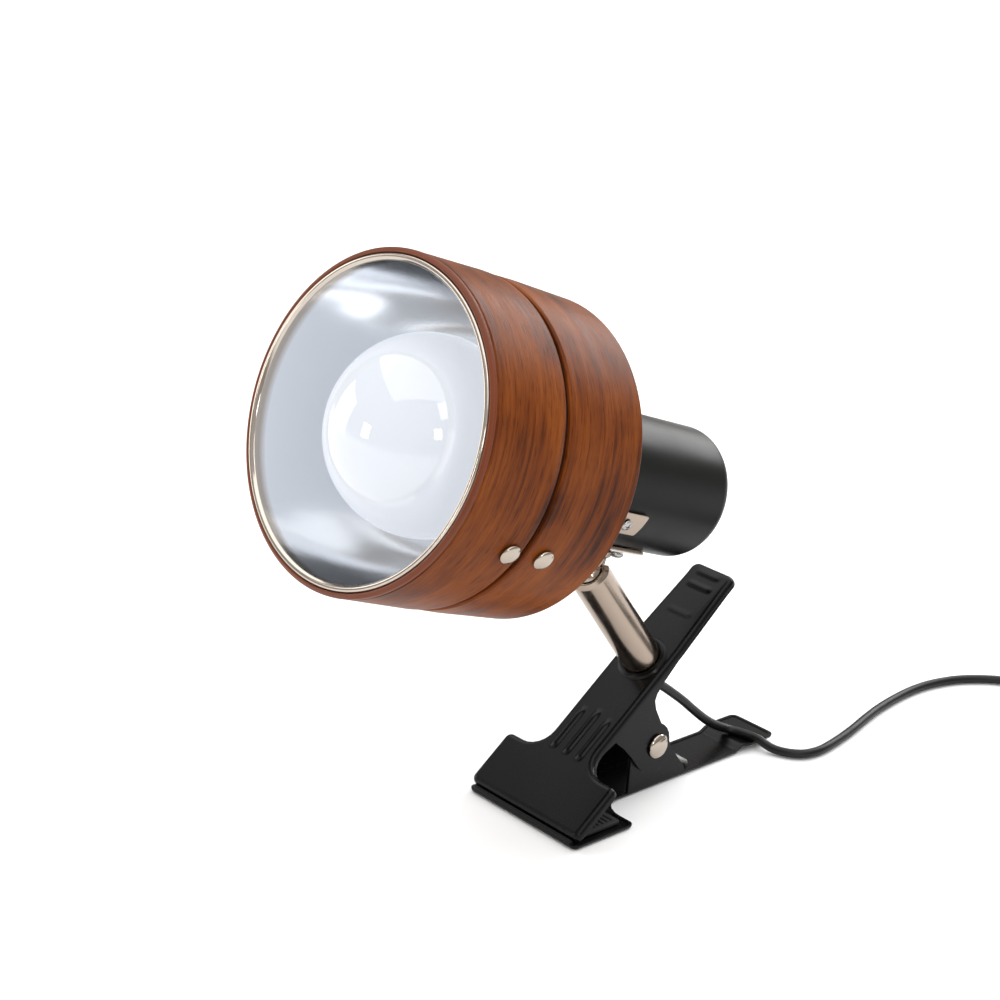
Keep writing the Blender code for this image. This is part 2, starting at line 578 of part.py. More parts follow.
def make_switch(base, rocker_at):
    low, high, y = SWITCH_AT
    length, middle = high - low, (low + high) / 2
    box("switch_base", (length, 20, 5.9), (middle, y, 3.0), PLASTIC, base, 0.8)
    cover = box("switch_cover", (length, 20, 6.6), (middle, y, 9.6), PLASTIC, base, 1.2)
    boolean(cover, box("switch_hollow", (30, 14, 9.0), (middle, y, 7.0), PLASTIC, base))
    boolean(cover, box("switch_window", (17.0, 9.0, 8.0), (middle, y, 12.0), PLASTIC, base))
    box("switch_rocker", (15.2, 8.0, 4.6), (0, 0, 0.6), PLASTIC, rocker_at, 0.5)


def make_plug(base):
    back, y, z = PLUG_AT
    body = box("plug_body", (26.0, 22.0, 12.0), (back + 13.0, y, z), PLASTIC, base, 2.0)
    blades = (("plug_blade_right", -6.35), ("plug_blade_left", 6.35))
    for name, across in blades:
        slot = box(name + "_slot", (9.0, 2.1, 6.9), (back + 23.0, y + across, z), PLASTIC, base)
        boolean(body, slot)
        box(name, (22.0, 1.5, 6.3), (back + 30.0, y + across, z), BRASS, base, 0.3)


# ---- assembly -----------------------------------------------------------------------------------
def plate_point(along, normal):
    """(y, z) above the underside for a place in the upper plate's axes."""
    a = math.radians(JAW_ANGLE)
    return (along * math.cos(a) - normal * math.sin(a),
            PLATE_FRONT + along * math.sin(a) + normal * math.cos(a))


def main():
    clear_scene()
    base = empty("underside", location=(0, 0, -BITE_HEIGHT))
    pivot_at = plate_point(PIVOT_ALONG, -PIVOT_BELOW)
    pivot = empty("jaw_pivot", base, (0, *pivot_at))
    upper = empty("upper_plate", pivot, (0, -pivot_at[0], PLATE_FRONT - pivot_at[1]), JAW_ANGLE)
    stem = empty("stem_axis", upper, (0, STEM_FOOT, 0))
    ball = empty("ball_centre", stem, (0, 0, BALL_HEIGHT), -JAW_ANGLE)
    turn = Matrix.Rotation(math.radians(-90 - HEAD_TILT), 3, "X")
    head = empty("head_axis", ball, -(turn @ Vector((0, BALL_DROP, BALL_BACK))), -90 - HEAD_TILT)
    low, high, across = SWITCH_AT
    rocker = empty("rocker_axis", base, ((low + high) / 2, across, 11.0))

    make_lower_jaw(base, pivot_at)
    make_upper_jaw(upper)
    make_pads(base, upper)
    make_pivot_pin(pivot)
    make_spring(base, pivot_at)
    make_stem(stem, upper)
    make_shade(head)
    make_reflector(head)
    make_bulb(head)
    make_holder(head)
    make_cap(head)
    make_ball_stud(head)
    make_cord(base)
    make_switch(base, rocker)
    make_plug(base)


main()
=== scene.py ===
"""Clip-on reading lamp: the pieces that show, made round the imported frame."""
import json
import math

import bmesh
import bpy
from mathutils import Matrix, Vector


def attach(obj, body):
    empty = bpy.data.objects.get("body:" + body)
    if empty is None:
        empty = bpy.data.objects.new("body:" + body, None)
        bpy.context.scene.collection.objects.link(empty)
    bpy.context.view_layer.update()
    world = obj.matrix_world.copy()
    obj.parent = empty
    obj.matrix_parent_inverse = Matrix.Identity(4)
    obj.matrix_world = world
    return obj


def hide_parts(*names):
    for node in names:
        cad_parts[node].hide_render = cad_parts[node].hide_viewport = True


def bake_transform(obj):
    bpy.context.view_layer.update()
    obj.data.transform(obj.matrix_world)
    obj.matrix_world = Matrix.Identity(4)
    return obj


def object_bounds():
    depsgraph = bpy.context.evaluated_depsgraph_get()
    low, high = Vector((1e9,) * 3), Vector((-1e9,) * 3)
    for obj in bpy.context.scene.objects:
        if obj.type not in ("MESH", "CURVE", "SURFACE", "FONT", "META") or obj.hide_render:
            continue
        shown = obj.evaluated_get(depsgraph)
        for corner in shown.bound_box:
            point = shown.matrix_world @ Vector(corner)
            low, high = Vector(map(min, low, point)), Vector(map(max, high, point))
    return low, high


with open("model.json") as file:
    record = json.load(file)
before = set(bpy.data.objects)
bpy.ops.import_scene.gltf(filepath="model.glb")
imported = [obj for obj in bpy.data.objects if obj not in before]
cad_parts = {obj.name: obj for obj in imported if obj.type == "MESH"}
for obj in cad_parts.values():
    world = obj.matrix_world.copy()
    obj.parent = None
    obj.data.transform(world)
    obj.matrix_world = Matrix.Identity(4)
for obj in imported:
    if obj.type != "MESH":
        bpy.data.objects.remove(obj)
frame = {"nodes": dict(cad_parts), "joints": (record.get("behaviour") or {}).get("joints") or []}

bl_info = {
    "name": "Clip-on reading lamp",
    "version": (1, 0, 0),
    "blender": (4, 5, 0),
    "location": "View3D > Sidebar > Lamp",
    "description": "Makes a veneered clip-on reading lamp piece by piece round its packed frame",
    "category": "Add Mesh",
}

CAD_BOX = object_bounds()
MM = 0.001
DOME = [math.radians(k * 6) for k in range(16)]    # a domed head's profile, from its edge to its top
MERGE = 0.000002                     # metres within which two vertices are one


# ---- places ----
# Sizes are in millimetres in each group's own axes, and these matrices set them down in metres.
def shift(x, y, z):
    return Matrix.Translation(Vector((x, y, z)) * MM)


def quarter(axis):
    return Matrix.Rotation(math.pi / 2, 4, axis)


def joint_at(name):
    return Vector(next(j["pos_m"] for j in frame["joints"] if j["name"] == name))


JAW_ANGLE = math.radians(38.0)       # upper plate above the lower jaw
HEAD_TURN = math.radians(-109.45)    # head's own Z runs back along its axis
UNDERSIDE = Matrix.Translation((0, 0, CAD_BOX[0][2]))
MIRRORED = Matrix.Scale(-1, 4, (0, 0, 1))
PIVOT = joint_at("jaw_open")
BALL = joint_at("head_tilt")
FOOT = joint_at("stem_swivel")
PLATE = Matrix.Translation(PIVOT) @ Matrix.Rotation(JAW_ANGLE, 4, "X") @ shift(0, -47.7, 22.2)
STEM = Matrix.Translation(FOOT) @ Matrix.Rotation(JAW_ANGLE, 4, "X")
HEAD = Matrix.Translation(BALL) @ Matrix.Rotation(HEAD_TURN, 4, "X") @ shift(0, -32.4, -114.2)
STUD = HEAD @ shift(0, 32.4, 114.2) @ quarter("X")


def on_head(radius, angle, along):
    """Local Z points in from the head's side, at an angle from straight down towards +X."""
    a = math.radians(angle)
    inwards = Vector((-math.sin(a), -math.cos(a), 0))
    side = Vector((0, 0, 1)).cross(inwards)
    turn = Matrix((side, Vector((0, 0, 1)), inwards)).transposed().to_4x4()
    return HEAD @ Matrix.Translation((-inwards * radius + Vector((0, 0, along))) * MM) @ turn


# ---- colours and sizes a user changes ----
def srgb(text):
    """Linear colour of an sRGB hex value."""
    values = [int(text[i:i + 2], 16) / 255 for i in (0, 2, 4)]
    return [v / 12.92 if v <= 0.04045 else ((v + 0.055) / 1.055) ** 2.4 for v in values] + [1.0]


def paint(name, text, description):
    return bpy.props.FloatVectorProperty(
        name=name, description=description, subtype="COLOR", size=4, min=0, max=1, default=srgb(text))


class ReadingLampColours(bpy.types.PropertyGroup):
    veneer_dark: paint("Veneer, dark grain", "361707", "Darkest grain of the walnut veneer")
    veneer_mid: paint("Veneer", "66300B", "Main colour of the walnut veneer")
    veneer_light: paint("Veneer, light grain", "824414", "Lightest grain of the walnut veneer")
    clip: paint("Clip paint", "0A0909", "Semi-gloss paint on the stamped clip")
    cap: paint("Cap", "080808", "Satin cap over the lamp holder")
    globe: paint("Globe", "8E9299", "Opal glass of the bulb")
    flex: paint("Cord", "0B0B0B", "Sheath of the cord")


class ReadingLampSizes(bpy.types.PropertyGroup):
    cord_diameter: bpy.props.FloatProperty(
        name="Cord diameter", description="Outer diameter of the round cord",
        default=0.0032, min=0.002, max=0.004, unit="LENGTH")
    sheet: bpy.props.FloatProperty(
        name="Clip sheet", description="Thickness of the clip's steel sheet",
        default=0.0012, min=0.0006, max=0.0014, unit="LENGTH")
    bend: bpy.props.FloatProperty(
        name="Clip bend", description="Outer radius of the clip's pressed edges",
        default=0.0020, min=0.001, max=0.0021, unit="LENGTH")


def colours():
    return bpy.context.scene.reading_lamp_colours


def sizes():
    return bpy.context.scene.reading_lamp_sizes


# ---- modelling by hand ----
def to_mode(name):
    bpy.ops.object.mode_set(mode=name)


def select_everything():
    bpy.ops.mesh.select_all(action="SELECT")


def extrude(move):
    bpy.ops.mesh.extrude_region_move(TRANSFORM_OT_translate={"value": move})


def clear_selection():
    if bpy.context.mode != "OBJECT":
        to_mode("OBJECT")
    bpy.ops.object.select_all(action="DESELECT")


def take(obj, mode="OBJECT"):
    """Selects one object alone and opens it in a mode."""
    clear_selection()
    obj.select_set(True)
    bpy.context.view_layer.objects.active = obj
    to_mode(mode)
    return obj


def closed_up(obj, merge=True):
    """Merges the doubles of a closed mesh and turns its faces outwards."""
    if bpy.context.mode == "OBJECT":
        take(obj, "EDIT")
    select_everything()
    if merge:
        bpy.ops.mesh.remove_doubles(threshold=MERGE)
    bpy.ops.mesh.normals_make_consistent(inside=False)
    to_mode("OBJECT")
    return obj


def rounded(corners, closed=False, steps=5):
    """Points of a line whose corners, each (x, y) or (x, y, radius), are rounded to their radius."""
    found = []
    last = len(corners) - 1
    for i, corner in enumerate(corners):
        here = Vector(corner[:2])
        radius = corner[2] if len(corner) > 2 else 0
        if radius == 0 or (not closed and i in (0, last)):
            found.append(here)
            continue
        back = (Vector(corners[i - 1][:2]) - here).normalized()
        ahead = (Vector(corners[(i + 1) % len(corners)][:2]) - here).normalized()
        half = back.angle(ahead) / 2
        centre = here + (back + ahead).normalized() * radius / math.sin(half)
        start = here + back * radius / math.tan(half) - centre
        end = here + ahead * radius / math.tan(half) - centre
        sweep = start.angle(end)
        for k in range(steps + 1):
            t = k / steps
            found.append(centre + (math.sin((1 - t) * sweep) * start
                + math.sin(t * sweep) * end) / math.sin(sweep))
    return found


def drawn(name, points, closed=False):
    """A line drawn point by point, in millimetres: one vertex, extruded to each next point."""
    points = [Vector((*p, 0)[:3]) * MM for p in points]
    clear_selection()
    bpy.ops.mesh.primitive_plane_add(size=MM)
    obj = bpy.context.object
    obj.name = obj.data.name = name
    to_mode("EDIT")
    bpy.ops.mesh.select_mode(type="VERT")
    select_everything()
    bpy.ops.mesh.merge(type="CENTER")
    bpy.ops.transform.translate(value=points[0])
    for a, b in zip(points, points[1:]):
        extrude(b - a)
    if closed:
        select_everything()
        bpy.ops.mesh.edge_face_add()
    to_mode("OBJECT")
    return obj


def rectangle(x0, y0, x1, y1, radius, steps=5):
    return rounded([(x0, y0, radius), (x1, y0, radius), (x1, y1, radius), (x0, y1, radius)], True, steps)


def lathed(name, profile, steps=96):
    """A closed profile of (radius, height) in millimetres, spun about local Z."""
    points = [(r, 0, z) for r, z in profile]
    obj = drawn(name, points + points[:1])
    to_mode("EDIT")
    select_everything()
    bpy.ops.mesh.spin(steps=steps, angle=2 * math.pi, center=(0, 0, 0), axis=(0, 0, 1))
    return closed_up(obj)


def slab(name, outline, thickness, low=0.0):
    """A flat piece from a closed outline of (x, y) in millimetres, from height low upwards."""
    obj = drawn(name, [(*p, low) for p in outline], closed=True)
    to_mode("EDIT")
    select_everything()
    extrude((0, 0, thickness * MM))
    return closed_up(obj, merge=False)


def block(name, size, centre):
    """A box by its size and centre, in millimetres."""
    clear_selection()
    bpy.ops.mesh.primitive_cube_add(size=1, location=Vector(centre) * MM)
    obj = bpy.context.object
    obj.name = obj.data.name = name
    obj.scale = Vector(size) * MM
    bpy.ops.object.transform_apply(location=True, rotation=True, scale=True)
    return obj


def finished(obj, kind, **settings):
    """Adds a modifier with its settings and applies it."""
    take(obj)
    bpy.ops.object.modifier_add(type=kind)
    modifier = obj.modifiers[-1]
    for name, value in settings.items():
        setattr(modifier, name, value)
    bpy.ops.object.modifier_apply(modifier=modifier.name)
    return obj


def eased(obj, width, segments=3, angle=40):
    """Rounds the edges sharper than an angle."""
    return finished(obj, "BEVEL", width=width * MM, segments=segments, limit_method="ANGLE",
        angle_limit=math.radians(angle), use_clamp_overlap=True)


def cut(obj, cutter, operation="DIFFERENCE"):
    finished(obj, "BOOLEAN", object=cutter, operation=operation, solver="EXACT")
    bpy.data.objects.remove(cutter, do_unlink=True)
    return obj


def joined(name, pieces):
    clear_selection()
    for piece in pieces:
        piece.select_set(True)
    bpy.context.view_layer.objects.active = pieces[0]
    bpy.ops.object.join()
    pieces[0].name = pieces[0].data.name = name
    return pieces[0]


def turned_to(obj, matrix):
    """Moves the mesh and leaves the object at the origin. A mirrored mesh has its faces turned back."""
    obj.data.transform(matrix)
    if matrix.determinant() < 0:
        obj.data.flip_normals()
    obj.data.update()
    return obj


def smooth(obj, angle=35):
    take(obj)
    bpy.ops.object.shade_smooth_by_angle(angle=math.radians(angle))
    return obj


def hand_over(obj, place, body, made_of, *nodes, angle=35, slot=None):
    """Sets a piece in place, with its shading, finish, body and the nodes it stands for; its slot argument is
    not used.
    """
    turned_to(obj, place)
    smooth(obj, angle)
    finished(obj, "WEIGHTED_NORMAL", keep_sharp=True, weight=80)
    obj.data.materials.clear()
    obj.data.materials.append(finish(made_of))
    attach(obj, body)
    if nodes:
        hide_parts(*nodes)
    return obj


def smooth_route(points, spacing):
    """Points at an even spacing along a smooth curve through the route's points, in millimetres."""
    ends = [2 * Vector(points[0]) - Vector(points[1])]
    ends += [Vector(p) for p in points]
    ends.append(2 * Vector(points[-1]) - Vector(points[-2]))
    dense = []
    for a, b, c, d in zip(ends, ends[1:], ends[2:], ends[3:]):
        for i in range(40):
            t = i / 40
            dense.append(0.5 * ((2 * b) + (c - a) * t + (2 * a - 5 * b + 4 * c - d) * t * t
                + (3 * b - a - 3 * c + d) * t ** 3))
    dense.append(ends[-2])
    total = route_length(dense)
    count = max(2, round(total / spacing))
    found, walked = [dense[0]], 0.0
    for p, q in zip(dense, dense[1:]):
        length = (q - p).length
        while length > 0 and len(found) < count and walked + length >= total / count * len(found):
            found.append(p.lerp(q, (total / count * len(found) - walked) / length))
        walked += length
    found.append(dense[-1])
    return found


def route_length(points):
    return sum((q - p).length for p, q in zip(points, points[1:]))


def wire(name, points, radius, matrix, sides=4):
    """A round wire or cord along points in millimetres, as a closed mesh with rounded shading."""
    curve = bpy.data.curves.new(name, "CURVE")
    curve.dimensions = "3D"
    curve.bevel_depth = radius * MM
    curve.bevel_resolution = sides
    curve.use_fill_caps = True
    spline = curve.splines.new("POLY")
    spline.points.add(len(points) - 1)
    for point, position in zip(spline.points, points):
        point.co = (*(Vector(position) * MM), 1.0)
    obj = bpy.data.objects.new(name, curve)
    bpy.context.scene.collection.objects.link(obj)
    take(obj)
    bpy.ops.object.convert(target="MESH")
    return turned_to(closed_up(bpy.context.object), matrix)


# ---- materials ----
def add(tree, kind, inputs=None, **settings):
    """Adds a node with its settings, and gives its inputs values or links."""
    made = tree.nodes.new(kind)
    for name, value in settings.items():
        setattr(made, name, value)
    for name, value in (inputs or {}).items():
        if isinstance(value, bpy.types.NodeSocket):
            tree.links.new(value, made.inputs[name])
        else:
            made.inputs[name].default_value = value
    return made


def blank(name, **constants):
    """A new material, its node tree and its shader with constant values set on the shader."""
    found = bpy.data.materials.new(name)
    found.use_nodes = True
    tree = found.node_tree
    shader = tree.nodes["Principled BSDF"]
    for socket, value in constants.items():
        shader.inputs[socket.replace("_", " ")].default_value = value
    return found, tree, shader


def ramp(tree, factor, stops):
    """A colour ramp through (position, colour) stops."""
    made = add(tree, "ShaderNodeValToRGB", {"Fac": factor})
    elements = made.color_ramp.elements
    while len(elements) < len(stops):
        elements.new(0.5)
    for element, (position, colour) in zip(elements, stops):
        element.position = position
        element.color = colour
    return made.outputs["Color"]


def grained(name, colour, grain_mm, depth_mm, roughness, spread, **constants):
    """A one-colour finish with a fine moulded or sprayed grain in its surface and its gloss."""
    colour = srgb(colour) if isinstance(colour, str) else colour
    found, tree, shader = blank(name, **constants)
    place = add(tree, "ShaderNodeTexCoord").outputs["Object"]
    grain = add(tree, "ShaderNodeTexNoise", {"Vector": place, "Scale": 1 / (grain_mm * MM), "Detail": 3.0})
    cloud = add(tree, "ShaderNodeTexNoise", {"Vector": place, "Scale": 1 / (25 * MM), "Detail": 4.0})
    surfaced(tree, shader, cloud.outputs["Fac"], (0.3, 0.7), (roughness - spread, roughness + spread),
        grain.outputs["Fac"], depth_mm * MM, 1.0)
    darker = [c * 0.85 for c in colour[:3]] + [1.0]
    tree.links.new(ramp(tree, cloud.outputs["Fac"], [(0.35, darker), (0.65, colour)]),
        shader.inputs["Base Color"])
    return found


def surfaced(tree, shader, pattern, spread, roughness, relief, distance, strength):
    """Lets one pattern vary the shader's roughness over a range, and another raise its surface."""
    gloss = add(tree, "ShaderNodeMapRange", {"Value": pattern, "From Min": spread[0], "From Max": spread[1],
        "To Min": roughness[0], "To Max": roughness[1]})
    bump = add(tree, "ShaderNodeBump", {"Height": relief, "Distance": distance, "Strength": strength})
    tree.links.new(gloss.outputs["Result"], shader.inputs["Roughness"])
    tree.links.new(bump.outputs["Normal"], shader.inputs["Normal"])


def walnut_veneer():
    # Sliced walnut veneer, stained and satin lacquered: long red-brown grain that runs round the
    # shade, fine dark pores, and a soft sheen from the lacquer.
    found, tree, shader = blank("walnut_veneer", Specular_IOR_Level=0.09)
    uv = add(tree, "ShaderNodeTexCoord").outputs["UV"]

    def streaks(length_mm, width_mm, detail, distortion=0.0):
        stretched = add(tree, "ShaderNodeMapping", {"Vector": uv,
            "Scale": (1000 / length_mm, 1000 / width_mm, 1)})
        noise = add(tree, "ShaderNodeTexNoise", {"Vector": stretched.outputs["Vector"], "Scale": 1.0,
            "Detail": detail, "Distortion": distortion})
        return noise.outputs["Fac"]

    figure = streaks(48, 8, 5.0, 0.7)
    lines = streaks(38, 1.8, 5.0, 0.35)
    pores = streaks(6, 0.5, 2.0)
    patch = streaks(30, 24, 3.0, 0.5)
    mixed = add(tree, "ShaderNodeMath", {0: figure, 1: lines}, operation="ADD")
    mixed = add(tree, "ShaderNodeMath", {0: mixed.outputs[0], 1: patch}, operation="ADD")
    third = add(tree, "ShaderNodeMath", {0: mixed.outputs[0], 1: 1 / 3}, operation="MULTIPLY")
    c = colours()
    grain = ramp(tree, third.outputs[0], [(0.36, c.veneer_dark), (0.47, c.veneer_mid),
        (0.62, c.veneer_light)])
    dots = ramp(tree, pores, [(0.33, (0.5, 0.42, 0.38, 1)), (0.45, (1, 1, 1, 1))])
    shown = add(tree, "ShaderNodeMix", {"Factor": 0.8, 6: grain, 7: dots}, data_type="RGBA",
        blend_type="MULTIPLY")
    tree.links.new(shown.outputs[2], shader.inputs["Base Color"])
    height = add(tree, "ShaderNodeMath", {0: pores, 1: lines}, operation="ADD")
    surfaced(tree, shader, lines, (0.3, 0.7), (0.36, 0.5), height.outputs[0], 0.06 * MM, 0.7)
    return found


def metal(name, text, roughness, smudge):
    """A plated or polished metal with faint smudges in its gloss."""
    found, tree, shader = blank(name, Metallic=1.0, Base_Color=srgb(text))
    place = add(tree, "ShaderNodeTexCoord").outputs["Object"]
    cloud = add(tree, "ShaderNodeTexNoise", {"Vector": place, "Scale": 1 / (9 * MM), "Detail": 5.0})
    fine = add(tree, "ShaderNodeTexNoise", {"Vector": place, "Scale": 1 / (0.35 * MM), "Detail": 2.0})
    surfaced(tree, shader, cloud.outputs["Fac"], (0.35, 0.75), (roughness, roughness + smudge),
        fine.outputs["Fac"], 0.02 * MM, 0.15)
    return found


def spun_aluminium():
    # Spun and polished aluminium: a mirror with faint turning rings about the head's axis. Its rolled lip is
    # tinted tan-grey: a painted reflection of warm surroundings.
    found, tree, shader = blank("spun_aluminium", Metallic=0.95)
    uv = add(tree, "ShaderNodeTexCoord").outputs["UV"]
    rings = add(tree, "ShaderNodeMapping", {"Vector": uv, "Scale": (6, 1600, 1)})
    noise = add(tree, "ShaderNodeTexNoise", {"Vector": rings.outputs["Vector"], "Scale": 1.0, "Detail": 3.0})
    surfaced(tree, shader, noise.outputs["Fac"], (0, 1), (0.08, 0.16), noise.outputs["Fac"], 0.01 * MM, 0.5)
    across = add(tree, "ShaderNodeSeparateXYZ", {"Vector": uv}).outputs["Y"]
    # Painted reflection: the band of the map at the rolled lip gets a tan-grey tint, the rest keeps the
    # metal's pale colour.
    lip = add(tree, "ShaderNodeMapRange", {"Value": across, "From Min": 0.0300, "From Max": 0.0325})
    shown = ramp(tree, lip.outputs["Result"], [(0.0, srgb("BDB3A8")), (1.0, srgb("EEF0F3"))])
    tree.links.new(shown, shader.inputs["Base Color"])
    return found


def opal_glass():
    # Opal glass globe, blown and fire polished: milky bluish white under a clear gloss. Its wall
    # carries light round to the shaded side; the emission is a painted glow for that light, since the bulb is
    # not lit.
    found, tree, shader = blank("opal_glass", Roughness=0.06, IOR=1.5, Coat_Weight=0.5, Coat_Roughness=0.03,
        Emission_Color=srgb("F1F5FC"), Emission_Strength=0.56)
    place = add(tree, "ShaderNodeTexCoord").outputs["Object"]
    cloud = add(tree, "ShaderNodeTexNoise", {"Vector": place, "Scale": 1 / (20 * MM), "Detail": 2.0})
    base = colours().globe
    thin = [v * 0.965 for v in base[:3]] + [1.0]
    tree.links.new(ramp(tree, cloud.outputs["Fac"], [(0.3, thin), (0.7, base)]), shader.inputs["Base Color"])
    return found


FINISHES = {}


def finish(name):
    """The lamp's finishes, each made once when a piece first asks for it."""
    if name not in FINISHES:
        FINISHES[name] = new_finish(name)
    return FINISHES[name]


def new_finish(name):
    paints, low = colours(), {"Specular_IOR_Level": 0.16}
    plain = {
        # The veneer's cut edge, sanded and oiled: redder and plainer than its face.
        "edge_walnut": ("6B3112", 0.8, 0.02, 0.42, 0.05, {"Specular_IOR_Level": 0.3}),
        # Red-brown vulcanised fibre, rolled and unpolished: matt. Its colour is darkened with painted shade
        # for the bottom of the groove.
        "dark_liner": ("2E0F08", 0.4, 0.02, 0.6, 0.05, {}),
        # Semi-gloss enamel sprayed on stamped steel: near black, with a slight orange peel.
        "clip_enamel": (paints.clip, 1.1, 0.01, 0.27, 0.04, low),
        # Satin enamel on the drawn cap: black, smoother and softer than the clip.
        "cap_enamel": (paints.cap, 0.7, 0.006, 0.36, 0.04, low),
        # Moulded rubber pads: matt black with a soft grain.
        "pad_rubber": ("1C1C1C", 0.5, 0.03, 0.75, 0.06, {}),
        # Extruded PVC sheath: black, slightly waxy.
        "pvc_sheath": (paints.flex, 0.8, 0.01, 0.42, 0.06, {"Specular_IOR_Level": 0.3}),
        # Moulded ABS with a spark-eroded texture.
        "black_abs": ("191919", 0.45, 0.02, 0.45, 0.05, {}),
        # Natural nylon, milky and slightly glossy.
        "nylon": ("DCD6C4", 0.8, 0.01, 0.4, 0.05, {}),
        # Glazed porcelain lamp holder: off white under a hard clear glaze.
        "porcelain": ("E4E1D8", 2.5, 0.02, 0.14, 0.03, {"Coat_Weight": 0.5}),
    }
    metals = {
        # Chrome plate on polished steel: a dark mirror. Its tan tint is a painted reflection of warm
        # surroundings, not the plate's own colour.
        "chrome_plate": ("A09184", 0.17, 0.08),
        # Nickel plate on brass rivets: a warmer, softer mirror.
        "nickel_plate": ("AFA498", 0.18, 0.1),
        # Zinc-plated spring wire and fasteners: dull grey metal.
        "zinc_steel": ("A9A8A6", 0.3, 0.12),
        # Rolled brass, left plain.
        "plain_brass": ("CBA35B", 0.22, 0.12),
    }
    if name in plain:
        *values, constants = plain[name]
        return grained(name, *values, **constants)
    if name in metals:
        return metal(name, *metals[name])
    return {"walnut_veneer": walnut_veneer, "spun_aluminium": spun_aluminium,
        "opal_glass": opal_glass}[name]()


# ---- stage ----
def make_stage():
    """Camera at the lamp's right front, a pale floor and soft lights."""
    scene = bpy.context.scene
    scene.view_settings.view_transform = "Standard"
    azimuth, elevation, roll = (math.radians(v) for v in (46.45, 20.2, -3.92))
    back = Vector((math.sin(azimuth) * math.cos(elevation), -math.cos(azimuth) * math.cos(elevation),
        math.sin(elevation)))
    level = Vector((math.cos(azimuth), math.sin(azimuth), 0))
    right = math.cos(roll) * level - math.sin(roll) * back.cross(level)
    up = back.cross(right)
    data = bpy.data.cameras.new("camera")
    data.lens = 79.2
    data.sensor_width = 36
    camera = bpy.data.objects.new("camera", data)
    scene.collection.objects.link(camera)
    turn = Matrix((right, up, back)).transposed().to_4x4()
    camera.matrix_world = Matrix.Translation((0.45153, -0.44803, 0.34187)) @ turn
    scene.camera = camera

    clear_selection()
    bpy.ops.mesh.primitive_plane_add(size=40, location=(0, 0, CAD_BOX[0][2] - 0.0002))
    floor = bpy.context.object
    floor.name = "floor"
    # Matt white paper sweep.
    white, _, _ = blank("paper_white", Roughness=0.9, Base_Color=srgb("F7F7F7"))
    floor.data.materials.append(white)

    world = bpy.data.worlds.new("studio")
    scene.world = world
    world.use_nodes = True
    sky = world.node_tree
    background = sky.nodes["Background"]
    direction = add(sky, "ShaderNodeTexCoord").outputs["Generated"]
    height = add(sky, "ShaderNodeSeparateXYZ", {"Vector": direction}).outputs["Z"]
    tone = ramp(sky, height, [(0.0, srgb("F2EEEA")), (0.12, srgb("D6CDC5")), (0.6, srgb("FFFFFF"))])
    sky.links.new(tone, background.inputs["Color"])
    background.inputs["Strength"].default_value = 0.62

    centre = Vector((0, -0.02, 0.09))
    lamps = (("window_left", (-0.353, -0.921, 0.163), 1.6, (0.26, 0.36), 3),
             ("window_front", (0.808, -0.44, 0.365), 1.8, (0.24, 0.34), 4),
             ("window_right", (0.67, -0.2, 0.72), 1.6, (0.35, 0.5), 2),
             ("window_behind", (-0.13, 0.91, 0.40), 1.8, (1.1, 0.5), 14),
             ("window_side", (-0.89, -0.42, 0.12), 1.6, (0.8, 0.9), 6),
             ("ceiling", (-0.1, 0.1, 1.0), 3.0, (5.0, 5.0), 132))
    for name, direction, distance, size, power in lamps:
        light = bpy.data.lights.new(name, "AREA")
        light.shape = "RECTANGLE"
        light.size, light.size_y = size
        light.energy = power
        obj = bpy.data.objects.new(name, light)
        scene.collection.objects.link(obj)
        away = Vector(direction).normalized()
        aim = away.to_track_quat("Z", "Y").to_matrix().to_4x4()
        obj.matrix_world = Matrix.Translation(centre + away * distance) @ aim


# ---- cord, switch and plug ----
LEAD_ROUTE = [(0, 57.9, 36.2), (0, 60.6, 33.2), (-0.1, 66.0, 29.2), (-0.2, 74.1, 23.0), (-0.5, 80.5, 17.6),
    (-1.0, 88.0, 11.6), (-1.2, 94.5, 7.3), (-0.6, 100.0, 4.6), (3.0, 102.4, 4.1), (7.0, 103.4, 4.1),
    (10.6, 104.2, 4.0), (14.0, 105.2, 2.5), (17.4, 106.6, 1.7), (21.6, 108.8, 1.65), (25.0, 112.8, 1.65),
    (26.3, 120.0, 1.65), (24.8, 131.0, 1.65), (22.4, 142.0, 1.65), (19.6, 152.3, 1.65), (17.0, 163.0, 1.65),
    (15.0, 175.0, 1.65), (13.9, 188.0, 1.65), (14.8, 200.0, 1.65), (18.6, 212.0, 1.65), (26.5, 223.0, 1.65),
    (37.0, 230.5, 2.0), (48.0, 233.4, 4.5), (56.0, 234.0, 6.2), (60.0, 234.0, 6.2), (89.0, 234.0, 4.2)]
LINK_ROUTE = [(118.0, 234.0, 6.2), (124.5, 233.3, 5.6), (130.8, 229.0, 3.6), (133.4, 220.0, 2.7),
    (130.6, 211.4, 2.6), (124.0, 207.0, 2.6), (113.4, 206.1, 2.6)]
TAIL_ROUTE = [(78.7, 171.4, 12.35), (79.0, 166.5, 11.0), (82.0, 157.5, 8.0), (88.8, 150.4, 6.6),
    (96.5, 147.8, 6.2), (101.7, 147.5, 6.2), (104.0, 147.5, 6.2)]
COIL_CENTRE = (100.0, 184.7)
COIL_RADII = (21.3, 18.0, 14.7)
COIL_STEP = 3.25
# Angles in degrees, counted on from the coil's start, at which the turn moves to its next place.
COIL_MOVES = [(390, 1, 0), (750, 2, 0), (1080, 2, 1), (1410, 1, 1), (1770, 0, 1), (2100, 0, 2),
    (2430, 1, 2), (2790, 2, 2), (3120, 2, 3), (3450, 1, 3), (3810, 0, 3)]
COIL_END = 4140


